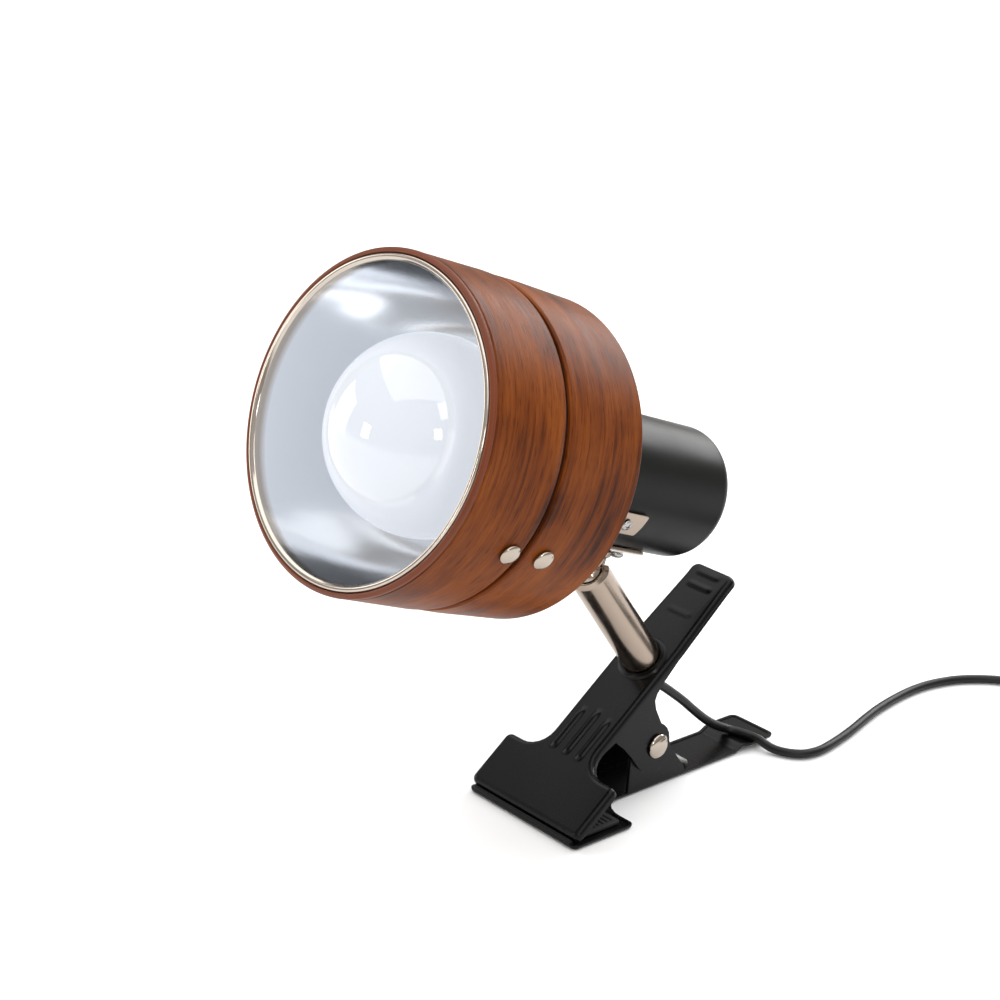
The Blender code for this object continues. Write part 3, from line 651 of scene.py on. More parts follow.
def coil_points():
    """The wound part of the cord, anticlockwise, three turns across and four layers high."""
    found = []
    for angle in range(90, COIL_END, 15):
        ring, layer = 0.0, 0.0
        last_ring, last_layer = 0, 0
        for start, next_ring, next_layer in COIL_MOVES:
            t = step_between(angle, start, start + 30)
            ring += (next_ring - last_ring) * t
            layer += (next_layer - last_layer) * t
            last_ring, last_layer = next_ring, next_layer
        radius = COIL_RADII[0] - ring * 3.3
        a = math.radians(angle)
        near_tie = abs(angle % 360 - 180)
        lift = 0.7 * math.exp(-(near_tie / 28) ** 2)
        found.append((COIL_CENTRE[0] + radius * math.cos(a), COIL_CENTRE[1] + radius * math.sin(a),
            1.7 + layer * COIL_STEP + lift))
    return found


def cord_line():
    return smooth_route(LEAD_ROUTE + LINK_ROUTE + coil_points() + TAIL_ROUTE, 2.2)


def make_cord():
    line = cord_line()
    radius = sizes().cord_diameter / 2 / MM
    cord = wire("flex", line, radius, UNDERSIDE)
    smooth(cord)
    cord.data.materials.append(finish("pvc_sheath"))
    path = [UNDERSIDE @ (p * MM) for p in line]
    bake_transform(cord)
    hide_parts("cord_lead", "cord_link", "cord_tail", "cord_coil")
    return cord, path, route_length(line) * MM


def make_tie():
    """The black moulded band that holds the coil."""
    x, y = COIL_CENTRE
    outer = slab("flex_tie", rectangle(-23.9, 0.05, -12.0, 14.6, 1.6), 5.0)
    cut(outer, slab("tie_hollow", rectangle(-23.3, 0.65, -12.6, 14.0, 1.1), 7.0, -1.0))
    clasp = eased(block("clasp", (3.2, 4.4, 6.0), (-24.6, 7.3, 2.5)), 0.5)
    joined("flex_tie", [eased(outer, 0.15, 2), clasp])
    upright = shift(x, y + 2.5, 0) @ quarter("X")
    return hand_over(outer, UNDERSIDE @ upright, "lower_clip", "black_abs", "coil_tie")


def make_switch():
    """Inline rocker switch: two moulded halves, a ribbed rocker and screws."""
    middle, y, length, width = 89.0, 234.0, 58.0, 20.0

    def shell(name, low, high, swell):
        half = length / 2
        corners = [(-half, -6.5, 5), (-10, -width / 2, 22), (10, -width / 2, 22), (half, -6.5, 5),
            (half, 6.5, 5), (10, width / 2, 22), (-10, width / 2, 22), (-half, 6.5, 5)]
        made = slab(name, rounded(corners, True, 6), high - low, low)
        return eased(made, swell, 4, 50)

    lower = shell("switch_lower", 0.05, 6.05, 0.9)
    upper = shell("switch_upper", 6.3, 12.9, 1.5)
    cut(upper, block("hollow", (30, 13, 8), (0, 0, 7.2)))
    cut(upper, block("window", (17, 9, 8), (0, 0, 12)))
    for side in (-1, 1):
        for shell_piece in (lower, upper):
            entry = lathed("entry", [(0, 0), (1.7, 0), (1.7, 14), (0, 14)], 24)
            cut(shell_piece, turned_to(entry, shift(side * 29 - 7, 0, 6.2) @ quarter("Y")))
        ring = lathed("dimple", [(1.9, 14), (1.9, 12.3), (0, 12.3), (0, 14)], 24)
        cut(upper, turned_to(ring, shift(side * 21, 0, 0)))
    key = rounded([(-7.6, -1.7, 0.4), (7.6, -1.7, 0.4), (7.6, 2.2, 0.6), (4.5, 2.5, 3), (0, 1.2, 9),
        (-4.5, 2.5, 3), (-7.6, 2.2, 0.6)], True)
    rocker = slab("rocker_key", key, 8.0, -4.0)
    eased(rocker, 0.3, 2, 50)
    for x in (-6, -5, -4, 4, 5, 6):
        cut(rocker, block("groove", (0.4, 0.5, 6), (x, 2.55, 0)))
    turned_to(rocker, quarter("X"))
    place = UNDERSIDE @ shift(middle, y, 0)
    screws = []
    for side in (-1, 1):
        dome = rounded([(0, 12.9), (1.0, 12.85, 0.5), (1.7, 12.4, 0.1), (1.7, 11.6), (0, 11.6)])
        head = lathed("switch_screw", dome, 24)
        cut(head, block("slot", (2.6, 0.45, 1.0), (0, 0, 12.9)))
        screws.append(turned_to(head, place @ shift(side * 21, 0, -0.2)))
    hand_over(lower, place, "lower_clip", "black_abs", "switch_base")
    hand_over(upper, place, "lower_clip", "black_abs", "switch_cover")
    hand_over(joined("switch_screws", screws), Matrix(), "lower_clip", "nickel_plate")
    hand_over(rocker, UNDERSIDE @ shift(middle, y, 11.0), "rocker", "black_abs", "switch_rocker")
    return ["switch_lower", "switch_upper", "switch_screws", "rocker_key"]


def make_plug():
    """Moulded two-blade plug with grip grooves on its sides and a strain relief."""
    back, y, z = 102.0, 147.5, 6.2
    outline = rounded([(0, -6.5, 4), (7, -11, 8), (26, -11, 1.5), (26, 11, 1.5), (7, 11, 8), (0, 6.5, 4)],
        True, 5)
    body = eased(slab("plug_moulding", outline, 12.0, -6.0), 2.2, 4, 50)
    for offset in (9, 11.5, 14):
        for side in (-1, 1):
            cut(body, block("grip", (1.1, 14, 0.8), (offset, 0, side * 6.1)))
    relief = lathed("relief", rounded([(0, -3.5), (2.1, -3.5, 0.4), (2.6, 1), (4.2, 2), (0, 2)]), 32)
    turned_to(relief, quarter("Y"))
    place = UNDERSIDE @ shift(back, y, z)
    body = joined("plug_moulding", [body, relief])
    hand_over(body, place, "lower_clip", "black_abs", "plug_body")
    names = ["plug_moulding"]
    for name, across in (("blade_right", -6.35), ("blade_left", 6.35)):
        outline = rounded([(22, -3.1), (39.6, -3.1, 0.5), (40.9, -1.9, 0.6), (40.9, 1.9, 0.6),
            (39.6, 3.1, 0.5), (22, 3.1)], True, 3)
        blade = slab(name, outline, 1.5, -0.75)
        eye = lathed("eye", [(0, 3), (1.6, 3), (1.6, -3), (0, -3)], 24)
        cut(blade, turned_to(eye, shift(36.0, 0, 0)))
        eased(blade, 0.2, 2, 50)
        upright = place @ shift(0, across, 0) @ quarter("X")
        hand_over(blade, upright, "lower_clip", "nickel_plate", "plug_" + name, slot="brass")
        names.append(name)
    return names


# ---- clip ----
def both_sides(half):
    """A closed outline, anticlockwise, from its right half listed from the low end to the high end."""
    return half + [Vector((-p[0], p[1])) for p in reversed(half) if abs(p[0]) > 1e-6]


def stamping(name, half, bend, lip, ears):
    """A pressed sheet: a flat face, an edge rolled down all round, a lip, and an ear on each side.

    Each ear row is (height below the face, front end, back end), drawn from the lip's straight side."""
    obj = drawn(name, [(*p, -bend) for p in both_sides(half)], closed=True)
    if obj.data.polygons[0].normal.z < 0:
        obj.data.flip_normals()
    to_mode("EDIT")
    select_everything()
    steps = 5
    for i in range(steps):
        a, b = (math.pi / 2 * k / steps for k in (i, i + 1))
        bpy.ops.mesh.inset(thickness=bend * (math.cos(a) - math.cos(b)) * MM,
            depth=bend * (math.sin(b) - math.sin(a)) * MM, use_even_offset=True)
    bpy.ops.mesh.select_mode(type="EDGE")
    select_everything()
    bpy.ops.mesh.region_to_loop()
    extrude((0, 0, -lip * MM))
    to_mode("OBJECT")
    side = max(p[0] for p in half if ears[0][1] - 0.01 <= p[1] <= ears[0][2] + 0.01)
    for sign in (-1, 1):
        bottom = -(bend + lip)
        take(obj, "EDIT")
        bpy.ops.mesh.select_mode(type="VERT")
        bpy.ops.mesh.select_all(action="DESELECT")
        to_mode("OBJECT")
        for vertex in obj.data.vertices:
            x, y, z = vertex.co / MM
            vertex.select = (abs(x - sign * side) < 0.02 and abs(z - bottom) < 0.01
                and ears[0][1] - 0.01 <= y <= ears[0][2] + 0.01)
        to_mode("EDIT")
        _, front, back = ears[0]
        level = bottom
        for next_height, next_front, next_back in ears[1:]:
            extrude((0, 0, (-next_height - level) * MM))
            level = -next_height
            to_mode("OBJECT")
            for vertex in obj.data.vertices:
                if vertex.select:
                    t = (vertex.co.y / MM - front) / (back - front)
                    vertex.co.y = (next_front + t * (next_back - next_front)) * MM
            front, back = next_front, next_back
            to_mode("EDIT")
        to_mode("OBJECT")
    return obj


def pressed(obj, zones, height):
    """Cuts a grid into each zone of the flat face and lifts it by height(x, y), as the press does.

    A zone is its half width, its low and high end, and the grid's spacing across and along."""
    take(obj, "EDIT")
    bpy.ops.mesh.select_mode(type="FACE")
    for half, low, high, across, along in zones:
        lines = [((0, y), (0, 1, 0)) for y in (low, high)]
        lines += [((x, 0), (1, 0, 0)) for x in stations(-half, half, across)]
        lines += [((0, y), (0, 1, 0)) for y in stations(low, high, along)[1:-1]]
        for i, (point, normal) in enumerate(lines):
            select_flat(obj, (low, high) if i > 1 else None, half if i > 2 + 2 * half / across else None)
            bpy.ops.mesh.bisect(plane_co=Vector((*point, 0)) * MM, plane_no=normal)
    to_mode("OBJECT")
    for vertex in obj.data.vertices:
        if abs(vertex.co.z) < 0.00001:
            vertex.co.z += height(vertex.co.x / MM, vertex.co.y / MM) * MM
    return obj


def select_flat(obj, span=None, half=None):
    """Selects the faces that look straight up: all, or those in a span along Y and near X = 0."""
    shape = bmesh.from_edit_mesh(obj.data)
    for face in shape.faces:
        centre = face.calc_center_bounds() / MM
        inside = span is None or span[0] < centre.y < span[1]
        near = half is None or abs(centre.x) < half
        face.select_set(face.normal.z > 0.999 and inside and near)
    bmesh.update_edit_mesh(obj.data)


def walled(obj):
    """Gives a stamping its sheet thickness, inwards, and eases the cut edges."""
    finished(obj, "SOLIDIFY", thickness=sizes().sheet, offset=-1.0, use_even_offset=True,
        use_quality_normals=True)
    return eased(obj, 0.3, 2, 50)


def step_between(value, low, high):
    t = min(max((value - low) / (high - low), 0), 1)
    return t * t * (3 - 2 * t)


def upper_relief(x, y):
    """Height of the pressed ribs: three along the neck, three across the handle."""
    found = 0.0
    for centre, front, back in ((-5.8, 22.8, 41), (0, 22.8, 42.5), (5.8, 22.8, 41)):
        across = max(0, 1 - ((x - centre) / 1.35) ** 2)
        ends = step_between(y, front, front + 2.0) * (1 - step_between(y, back - 4, back))
        found = max(found, 0.9 * across * ends)
    for centre, tall in ((102.6, 0.28), (97.4, 0.36), (86.0, 0.12)):
        along = max(0, 1 - ((y - centre) / 1.7) ** 2)
        found = max(found, tall * along * along * (1 - step_between(abs(x), 3.2, 6.0)))
    return found


def stations(low, high, spacing):
    count = max(1, round((high - low) / spacing))
    return [low + (high - low) * i / count for i in range(count + 1)]


def make_upper_jaw():
    half = [Vector((0, 0))] + rounded([(0, 0), (25.5, 0, 2.4), (25.5, 21, 2.4), (10.6, 21, 8.0),
        (10.6, 30.5)], steps=6)[1:-1]
    half += [Vector((10.6, y)) for y in stations(30.5, 71.0, 2.7)]
    half += rounded([(10.6, 71.0), (10.6, 73, 12), (9.3, 100), (9.3, 106, 2.8), (0, 106)], steps=6)[1:]
    ears = [(0, 30.5, 71.0), (4.2, 35.9, 62.0), (5.2, 36.1, 58.0), (6.5, 36.4, 56.0), (9.7, 37.1, 54.6),
        (15.8, 37.6, 53.6), (22.0, 37.6, 52.8), (25.5, 38.4, 52.4), (28.2, 39.9, 52.1), (30.0, 41.9, 51.6),
        (31.0, 44.2, 50.4)]
    jaw = stamping("upper_jaw_pressing", half, sizes().bend / MM, 1.1, ears)
    pressed(jaw, [(7.5, 22.4, 43.0, 0.3, 0.7), (6.3, 83.8, 104.4, 0.45, 0.4)], upper_relief)
    walled(jaw)
    hand_over(jaw, PLATE, "upper_clip", "clip_enamel", "upper_jaw", angle=50)


def make_lower_jaw():
    half = rounded([(0, 0), (25.5, 0, 2.2), (25.5, 27.2, 2.0), (9.2, 27.2, 9.2), (9.2, 40.5)], steps=6)[:-1]
    half += [Vector((9.2, y)) for y in stations(40.5, 68.5, 2.0)]
    half += rounded([(9.2, 68.5), (9.2, 98, 1.5), (9.9, 101, 3), (9.9, 114, 2.6), (0, 114)], steps=5)[1:]
    ears = [(0, 40.5, 68.5), (3.5, 40.5, 67.6), (8.0, 40.5, 64.0), (12.5, 40.5, 60.6), (15.0, 40.5, 58.9),
        (17.0, 40.5, 58.7), (19.0, 40.7, 58.3), (21.0, 41.6, 57.2), (22.6, 43.6, 55.6), (23.7, 47.2, 53.7)]
    jaw = stamping("lower_jaw_pressing", half, sizes().bend / MM * 0.62, 0.3, ears)
    take(jaw, "EDIT")
    for y in stations(93.5, 99.5, 0.5):
        select_everything()
        bpy.ops.mesh.bisect(plane_co=(0, y * MM, 0), plane_no=(0, 1, 0))
    to_mode("OBJECT")
    walled(jaw)
    for vertex in jaw.data.vertices:
        vertex.co.z -= 1.5 * MM * step_between(vertex.co.y / MM, 94.5, 98.5)
    turned_to(jaw, UNDERSIDE @ MIRRORED)
    bite = eased(block("bite_edge", (46.5, 1.2, 2.0), (0, 0.72, 2.0)), 0.5, 3)
    joined("lower_jaw_pressing", [jaw, turned_to(bite, UNDERSIDE)])
    hand_over(jaw, Matrix(), "lower_clip", "clip_enamel", "lower_jaw", angle=50)


def make_pads():
    """Moulded rubber pads with grip ribs across the bite."""
    for name, node, body, (low, high), place in (
            ("lower_grip_pad", "lower_pad", "lower_clip", (3.6, 23.5), UNDERSIDE @ shift(0, 0, 1.5)),
            ("upper_grip_pad", "upper_pad", "upper_clip", (3.2, 18.5), PLATE @ shift(0, 0, -1.5) @ MIRRORED)):
        pad = slab(name, rectangle(-22.5, low, 22.5, high, 1.2, 4), 1.1)
        eased(pad, 0.25, 2, 50)
        ribs = []
        for y in stations(low + 2.0, high - 2.0, 2.1):
            ribs.append(eased(block("rib", (42, 1.1, 0.8), (0, y, 1.15)), 0.3, 2))
        joined(name, [pad] + ribs)
        hand_over(pad, place, body, "pad_rubber", node)


def make_pivot():
    """The clip's rivet: a domed head on each side."""
    head = 10.9
    profile = [Vector((4.35 * math.sin(a), head + 0.25 + 1.6 * math.cos(a))) for a in DOME]
    profile += [Vector((4.2, head)), Vector((2.3, head))]
    profile += [Vector((x, -z)) for x, z in reversed(profile)]
    hand_over(lathed("pivot_rivet", profile, 48), Matrix.Translation(PIVOT) @ quarter("Y"), "lower_clip",
        "nickel_plate", "pivot_pin", angle=30)


def make_spring():
    """Double torsion spring: a bridge on the floor, a coil on each side of the pin and a leg up."""
    y, z = PIVOT.y / MM, (PIVOT.z - CAD_BOX[0][2]) / MM
    radius, pitch, start, sweep, steps = 4.7, 2.2, -70.0, 811.0, 72
    half = [(0, 72, 2.5), (5.6, 72, 2.5), (6.4, 71.2, 2.6)]
    for i in range(steps + 1):
        a = math.radians(start - sweep * i / steps)
        inwards = pitch * sweep / 360 * i / steps
        half.append((6.4 - inwards, y + radius * math.cos(a), z + radius * math.sin(a)))
    half.append((1.5, 44.9, 35.4))
    whole = [(-p[0], p[1], p[2]) for p in reversed(half[1:])] + half
    spring = wire("jaw_spring", [Vector(p) for p in whole], 0.95, UNDERSIDE, 3)
    smooth(spring, 60)
    spring.data.materials.append(finish("zinc_steel"))
    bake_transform(spring)
    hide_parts("torsion_spring")


# ---- stem ----
def make_stem():
    """Polished tube with its ball socket, the collar and nut at its foot, and the cord's bushing."""
    r, top = 6.75, 46.0
    profile = rounded([(5.3, top + 2.3), (5.9, top + 2.3, 0.25), (r, top + 0.6, 1.4), (r, 0.3), (5.0, 0.3),
        (5.0, -8.0), (3.5, -8.0), (3.5, 26.3), (5.5, 26.3), (5.5, top - 1.5), (5.6, top)], steps=5)
    tube = lathed("stem_sleeve", profile, 96)
    slot_line = rounded([(-4.0, top + 5), (-4.0, top - 4.0, 3.99), (4.0, top - 4.0, 3.99), (4.0, top + 5)],
        True, 8)
    slot = slab("slot", slot_line, 7.5)
    cut(tube, turned_to(slot, shift(0, 9, 0) @ quarter("X")))
    eased(tube, 0.12, 2, 50)
    hand_over(tube, STEM, "stem", "chrome_plate", "stem_tube", angle=40)

    collar = rounded([(7.0, 0.1), (8.9, 0.1), (8.3, 0.8, 0.4), (7.7, 1.1, 0.3), (7.0, 1.1, 0.2)], True, 5)
    hand_over(lathed("foot_collar", collar), STEM, "upper_clip", "clip_enamel", "stem_collar")

    washer = rounded([(8.3, -1.5, 0.2), (8.3, -2.3, 0.2), (5.3, -2.3), (5.3, -1.5)], True, 3)
    hand_over(lathed("foot_washer", washer, 48), STEM, "upper_clip", "zinc_steel", "stem_washer")
    make_nut("foot_nut", 8.2, 5.3, -2.6, -6.4, STEM, "upper_clip", "stem_nut")

    bushing = rounded([(2.9, -4.0), (2.9, -8.3), (4.9, -8.3, 0.3), (4.6, -9.9, 0.5), (3.9, -10.4, 0.3),
        (1.8, -10.4, 0.2), (1.8, -4.0)], True, 3)
    hand_over(lathed("lead_bushing", bushing, 48), STEM, "stem", "black_abs", "cord_bushing")


def make_nut(name, corner, bore, high, low, place, body, node):
    """A hexagon nut with turned corners."""
    nut = lathed(name, [(0, high), (corner, high), (corner, low), (0, low)], 6)
    chamfer = [(0, high + 1), (corner * 0.9, high + 1), (corner * 0.9, high),
        (corner + 0.1, high - corner * 0.06), (corner + 0.1, low + corner * 0.06), (corner * 0.9, low),
        (corner * 0.9, low - 1), (0, low - 1)]
    cut(nut, lathed("turning", chamfer, 64), "INTERSECT")
    cut(nut, lathed("bore", [(0, high + 1), (bore, high + 1), (bore, low - 1), (0, low - 1)], 48))
    eased(nut, 0.12, 2, 25)
    return hand_over(nut, place, body, "zinc_steel", node, angle=25)


def make_ball_joint():
    """The ball stud and the saddle that fix the head to the stem."""
    neck, r, bore = 3.4, 5.15, 1.95
    start = math.degrees(math.asin(neck / r))
    end = 180 - math.degrees(math.asin(bore / r))
    ball = []
    for i in range(25):
        a = math.radians(start + (end - start) * i / 24)
        ball.append((r * math.sin(a), r * math.cos(a)))
    profile = rounded([(2.9, 18.0), (2.9, 9.6, 0.2), (4.4, 9.2, 0.5), (4.4, 7.6, 0.6), (neck, 6.8, 0.8)],
        steps=4)
    profile = [Vector(p) for p in profile] + [Vector(p) for p in ball] + [Vector((bore, 18.0))]
    hand_over(lathed("ball_joint_stud", profile, 64), STUD, "head", "chrome_plate", "ball_stud", angle=40)

    saddle = curved_strip("bracket_saddle", 23.1, 21.9, (104.0, 127.0), 19.0, 0, 3.0)
    hand_over(saddle, HEAD, "head", "chrome_plate", "saddle_plate")
    screw_head("bracket_screw", (2.9, 1.9), on_head(23.4, 0, 122.5), "saddle_screw")
    for side, angle in (("right", 62), ("left", -62)):
        lug = curved_strip("side_lug_" + side, 22.9, 21.9, (94.0, 107.0), 8.6, angle, 0.8)
        hand_over(lug, HEAD, "head", "chrome_plate", "side_plate_" + side)
        screw_head("side_lug_screw_" + side, (2.0, 1.1), on_head(23.2, angle, 99.0), "side_screw_" + side)


def curved_strip(name, outer, inner, span, width, angle, corner):
    """A strip of a ring about the head's axis, centred at an angle from straight down."""
    low, high = span
    strip = slab(name, rectangle(-width / 2, low, width / 2, high, corner), 0.1)
    take(strip, "EDIT")
    for i in range(1, 24):
        select_everything()
        x = -width / 2 + width * i / 24
        bpy.ops.mesh.bisect(plane_co=(x * MM, 0, 0), plane_no=(1, 0, 0))
    to_mode("OBJECT")
    turn = math.radians(angle)
    for vertex in strip.data.vertices:
        x, y, z = vertex.co / MM
        radius = outer if z > 0.05 else inner
        a = x / outer + turn
        vertex.co = Vector((radius * math.sin(a), radius * math.cos(a), y)) * MM
    return eased(closed_up(strip, merge=False), 0.2, 2, 50)


def screw_head(name, size, place, node):
    """A domed head with a cross recess, seen from outside, and its shank."""
    r, tall = size
    dome = [Vector((r * math.cos(a), -tall * (0.15 + 0.85 * math.sin(a)))) for a in DOME]
    shank = [Vector(p) for p in ((0, 3.0), (r * 0.5, 3.0), (r * 0.5, 0), (r * 0.96, 0))]
    head = lathed(name, shank + dome, 48)
    for turn in (0, math.pi / 2):
        arm = block("recess", (r * 1.0, r * 0.2, tall * 0.9), (0, 0, -tall))
        cut(head, turned_to(arm, Matrix.Rotation(turn, 4, "Z")))
    return hand_over(head, place, "head", "zinc_steel", node, angle=30)


# ---- head ----
def wrap_map(obj):
    """A map in metres: round the head's axis, and along it or across its radius."""
    while obj.data.uv_layers:
        obj.data.uv_layers.remove(obj.data.uv_layers[0])
    layer = obj.data.uv_layers.new(name="wrap")
    for face in obj.data.polygons:
        angles = []
        for loop in face.loop_indices:
            x, y, _ = obj.data.vertices[obj.data.loops[loop].vertex_index].co
            angles.append(math.atan2(x, y))
        for loop, angle in zip(face.loop_indices, angles):
            if max(angles) - min(angles) > math.pi and angle < 0:
                angle += 2 * math.pi
            x, y, z = obj.data.vertices[obj.data.loops[loop].vertex_index].co
            layer.data[loop].uv = (angle * 0.05, z + math.hypot(x, y) * 0.6)
    return obj


def make_shade():
    """Two veneered bands on a fibre liner, with a sanded front edge and the seam's rivets."""
    front = rounded([(48.45, 1.6), (49.5, 1.6, 0.3), (50.05, 2.4, 0.5), (50.25, 27.6, 6), (50.0, 29.4, 0.7),
        (49.4, 29.9, 0.4), (48.6, 29.9)], True, 6)
    rear = rounded([(48.6, 31.7), (49.5, 31.7, 0.4), (50.0, 32.4, 0.8), (50.1, 40, 10), (49.5, 63.4, 0.8),
        (48.9, 64.0, 0.5), (48.6, 64.0)], True, 6)
    edge = rounded([(48.45, 0.1, 0.3), (49.0, -0.1, 0.5), (50.0, 0.5, 0.7), (50.12, 1.5, 0.1),
        (48.45, 1.5)], True, 5)
    for name, profile, place_of_rivet, node in (("veneer_front", front, 25.0, "shade_front_band"),
            ("veneer_rear", rear, 38.9, "shade_rear_band")):
        band = wrap_map(lathed(name, profile, 160))
        hand_over(band, HEAD, "head", "walnut_veneer", node)
        rivet = [Vector(p) for p in ((0, 3.4), (1.3, 3.4), (1.3, 0), (3.15, 0), (3.25, -0.12))]
        rivet += [Vector((3.25 * math.cos(a), -0.3 - 1.3 * math.sin(a))) for a in DOME]
        which = name.split("_")[1]
        stud = lathed(which + "_band_rivet", rivet, 40)
        hand_over(stud, on_head(50.5, 65.4, place_of_rivet), "head", "nickel_plate", which + "_seam_rivet",
            angle=30)
    ring = wrap_map(lathed("front_edge_ring", edge, 160))
    hand_over(ring, HEAD, "head", "edge_walnut")
    liner = rounded([(48.35, 62.4), (48.35, 3.0), (47.3, 3.0), (47.3, 62.4)], True)
    # The liner's finish carries painted shade: darker than the fibre, to show the shade in the groove between
    # the bands.
    hand_over(lathed("fibre_liner", liner, 160), HEAD, "head", "dark_liner", "shade_liner")
    cover = rounded([(48.4, 62.8), (48.4, 64.0, 0.3), (46.5, 64.0, 0.6), (45.8, 63.6, 0.6), (28.0, 63.6, 0.6),
        (27.3, 64.0, 0.6), (18.1, 64.0), (18.1, 62.8)], True, 4)
    cover = lathed("back_cover", cover, 128)
    for k in range(12):
        a = math.radians(30 * k + 15)
        vent = slab("vent", rectangle(-4.5, -1.2, 4.5, 1.2, 1.15, 4), 5, 60)
        cut(cover, turned_to(vent, Matrix.Rotation(a, 4, "Z") @ shift(0, 37, 0)))
    eased(cover, 0.1, 2, 50)
    hand_over(cover, HEAD, "head", "cap_enamel", "shade_cover")


def bowl_radius(s, mouth, neck, start, depth):
    t = min(max((s - start) / depth, 0.0), 1.0)
    return neck + (mouth - neck) * (1 - t ** 2.6) ** (1 / 2.2)


def make_reflector():
    """Spun bowl, open at its neck, with its front rolled over the liner."""
    start, depth, wall, steps = 2.2, 56.6, 0.8, 40
    depths = [start + depth * math.sin(math.pi / 2 * i / steps) for i in range(steps + 1)]
    outer = [(bowl_radius(s, 47.0, 22.0, start, depth), s) for s in reversed(depths)]
    inner = [(bowl_radius(s, 46.2, 21.6, start, depth - wall), min(s, start + depth - wall)) for s in depths]
    lip = rounded([(47.0, 2.6), (48.2, 2.0, 0.3), (48.4, 0.6, 0.6), (47.9, -0.35, 0.6), (46.9, -0.35, 0.7),
        (46.1, 0.5, 0.8), (46.2, 2.2)], steps=5)[1:-1]
    profile = [(18.1, start + depth)] + outer + lip + inner + [(18.1, start + depth - wall)]
    bowl = wrap_map(lathed("spun_reflector", [Vector(p) for p in profile], 160))
    hand_over(bowl, HEAD, "head", "spun_aluminium", "reflector", angle=50)


def make_globe():
    """Blown globe with its neck drawn into the screw cap."""
    r, c = 30.0, 25.5
    wall = 1.0
    neck = [(13.0, 64.0), (13.1, 60.5), (13.6, 57.6), (15.0, 54.6), (17.2, 51.6)]
    outer = [(r * math.sin(math.radians(a)), c + r * math.cos(math.radians(a))) for a in range(40, 180, 4)]
    inner = [(x - wall, z) for x, z in neck]
    hollow = [((r - wall) * math.sin(math.radians(a)), c + (r - wall) * math.cos(math.radians(a)))
        for a in range(40, 180, 8)]
    profile = neck + outer + [(0, c - r), (0, c - r + wall)] + hollow[::-1] + inner[::-1]
    hand_over(lathed("opal_globe", profile), HEAD, "head", "opal_glass", "bulb_globe", angle=60)


def make_cap():
    """Drawn cap over the lamp holder."""
    low, high, r, wall = 65.0, 144.5, 21.6, 1.4
    profile = rounded([(0, high), (r, high, 4.6), (r, low, 0.4), (r - wall, low, 0.2),
        (r - wall, high - wall, 3.4), (0, high - wall)], steps=8)
    hand_over(lathed("holder_cap", profile, 128), HEAD, "head", "cap_enamel", "socket_cap", angle=40)


def finish_inner_nodes():
    """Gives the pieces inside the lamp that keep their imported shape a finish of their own."""
    for name, nodes in (("nylon", "friction_seat"), ("zinc_steel", "pressure_spring stud_nut"),
            ("pvc_sheath", "stem_lead head_lead"), ("nickel_plate", "bulb_screw_cap"),
            ("plain_brass", "bulb_contact screw_shell centre_contact"), ("porcelain", "lamp_holder"),
            ("black_abs", "shade_ring")):
        for node in nodes.split():
            mesh = frame["nodes"][node].data
            mesh.materials.clear()
            mesh.materials.append(finish(name))


# ---- operators ----
class LAMP_OT_stage(bpy.types.Operator):
    """Set up the camera, floor and lights"""
    bl_idname = "lamp.stage"
    bl_label = "Stage"

    def execute(self, context):
        make_stage()
        return {"FINISHED"}


class LAMP_OT_cord(bpy.types.Operator):
    """Make the cord with its coil, tie, switch and plug"""
    bl_idname = "lamp.cord"
    bl_label = "Cord, switch and plug"

    def execute(self, context):
        cord, path, length = make_cord()
        make_tie()
        pieces = make_switch() + make_plug() + ["flex_tie"]
        return {"FINISHED"}


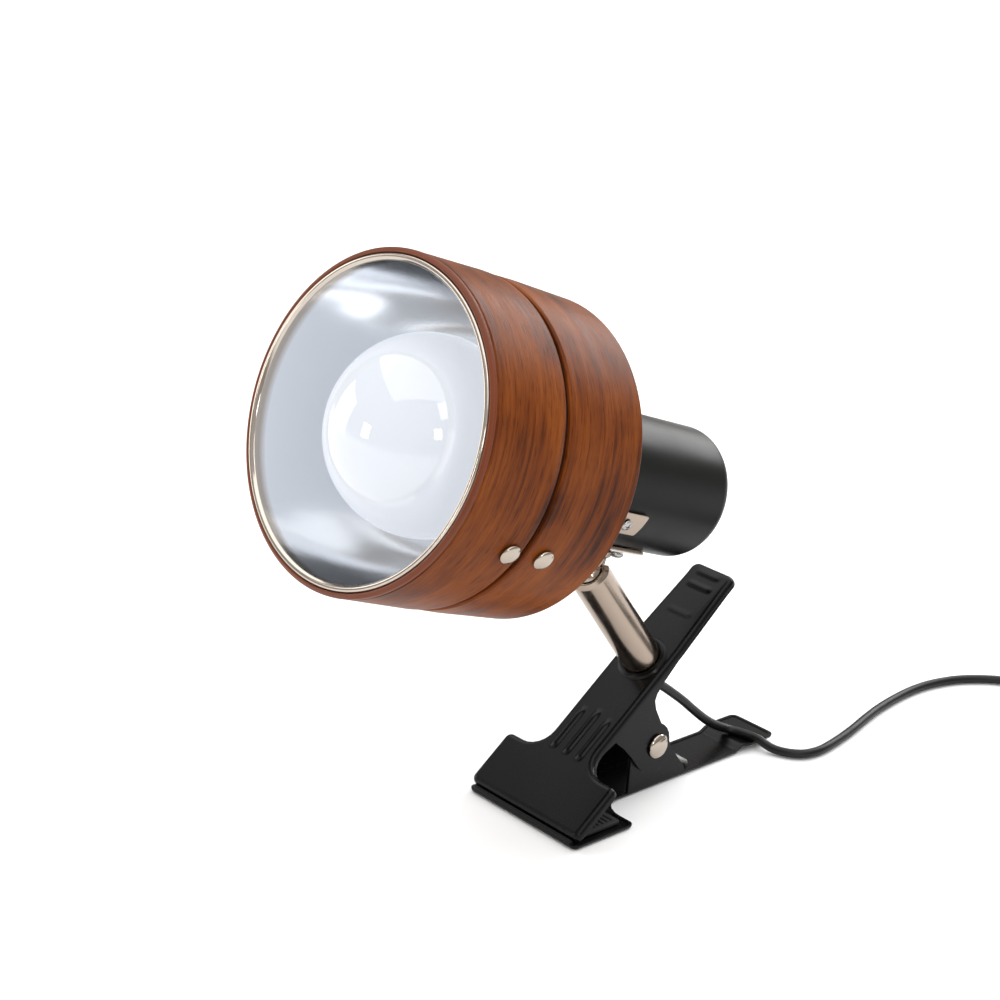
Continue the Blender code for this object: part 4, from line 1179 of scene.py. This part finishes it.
class LAMP_OT_clip(bpy.types.Operator):
    """Press the two jaws and fit their pads, rivet and spring"""
    bl_idname = "lamp.clip"
    bl_label = "Clip"

    def execute(self, context):
        make_lower_jaw()
        make_upper_jaw()
        make_pads()
        make_pivot()
        make_spring()
        return {"FINISHED"}


class LAMP_OT_stem(bpy.types.Operator):
    """Make the stem, and the ball joint that carries the head"""
    bl_idname = "lamp.stem"
    bl_label = "Stem"

    def execute(self, context):
        make_stem()
        make_ball_joint()
        return {"FINISHED"}


class LAMP_OT_head(bpy.types.Operator):
    """Make the veneered shade, the reflector, the bulb's globe and the cap"""
    bl_idname = "lamp.head"
    bl_label = "Head"

    def execute(self, context):
        make_shade()
        make_reflector()
        make_globe()
        make_cap()
        return {"FINISHED"}


class LAMP_OT_inner(bpy.types.Operator):
    """Finish the pieces inside the lamp"""
    bl_idname = "lamp.inner"
    bl_label = "Inner pieces"

    def execute(self, context):
        finish_inner_nodes()
        return {"FINISHED"}


STEPS = (LAMP_OT_stage, LAMP_OT_cord, LAMP_OT_clip, LAMP_OT_stem, LAMP_OT_head, LAMP_OT_inner)


class LAMP_PT_pieces(bpy.types.Panel):
    """The lamp's pieces, sizes and colours"""
    bl_label = "Reading lamp"
    bl_idname = "LAMP_PT_pieces"
    bl_space_type = "VIEW_3D"
    bl_region_type = "UI"
    bl_category = "Lamp"

    def draw(self, context):
        for group in (context.scene.reading_lamp_sizes, context.scene.reading_lamp_colours):
            for name in group.__annotations__:
                self.layout.prop(group, name)
        for step in STEPS:
            self.layout.operator(step.bl_idname)


CLASSES = (ReadingLampColours, ReadingLampSizes) + STEPS + (LAMP_PT_pieces,)


def register():
    for found in CLASSES:
        bpy.utils.register_class(found)
    bpy.types.Scene.reading_lamp_colours = bpy.props.PointerProperty(type=ReadingLampColours)
    bpy.types.Scene.reading_lamp_sizes = bpy.props.PointerProperty(type=ReadingLampSizes)


def unregister():
    del bpy.types.Scene.reading_lamp_sizes
    del bpy.types.Scene.reading_lamp_colours
    for found in reversed(CLASSES):
        bpy.utils.unregister_class(found)


def main():
    register()
    for step in STEPS:
        group, name = step.bl_idname.split(".")
        getattr(getattr(bpy.ops, group), name)()


if __name__ == "__main__":
    main()
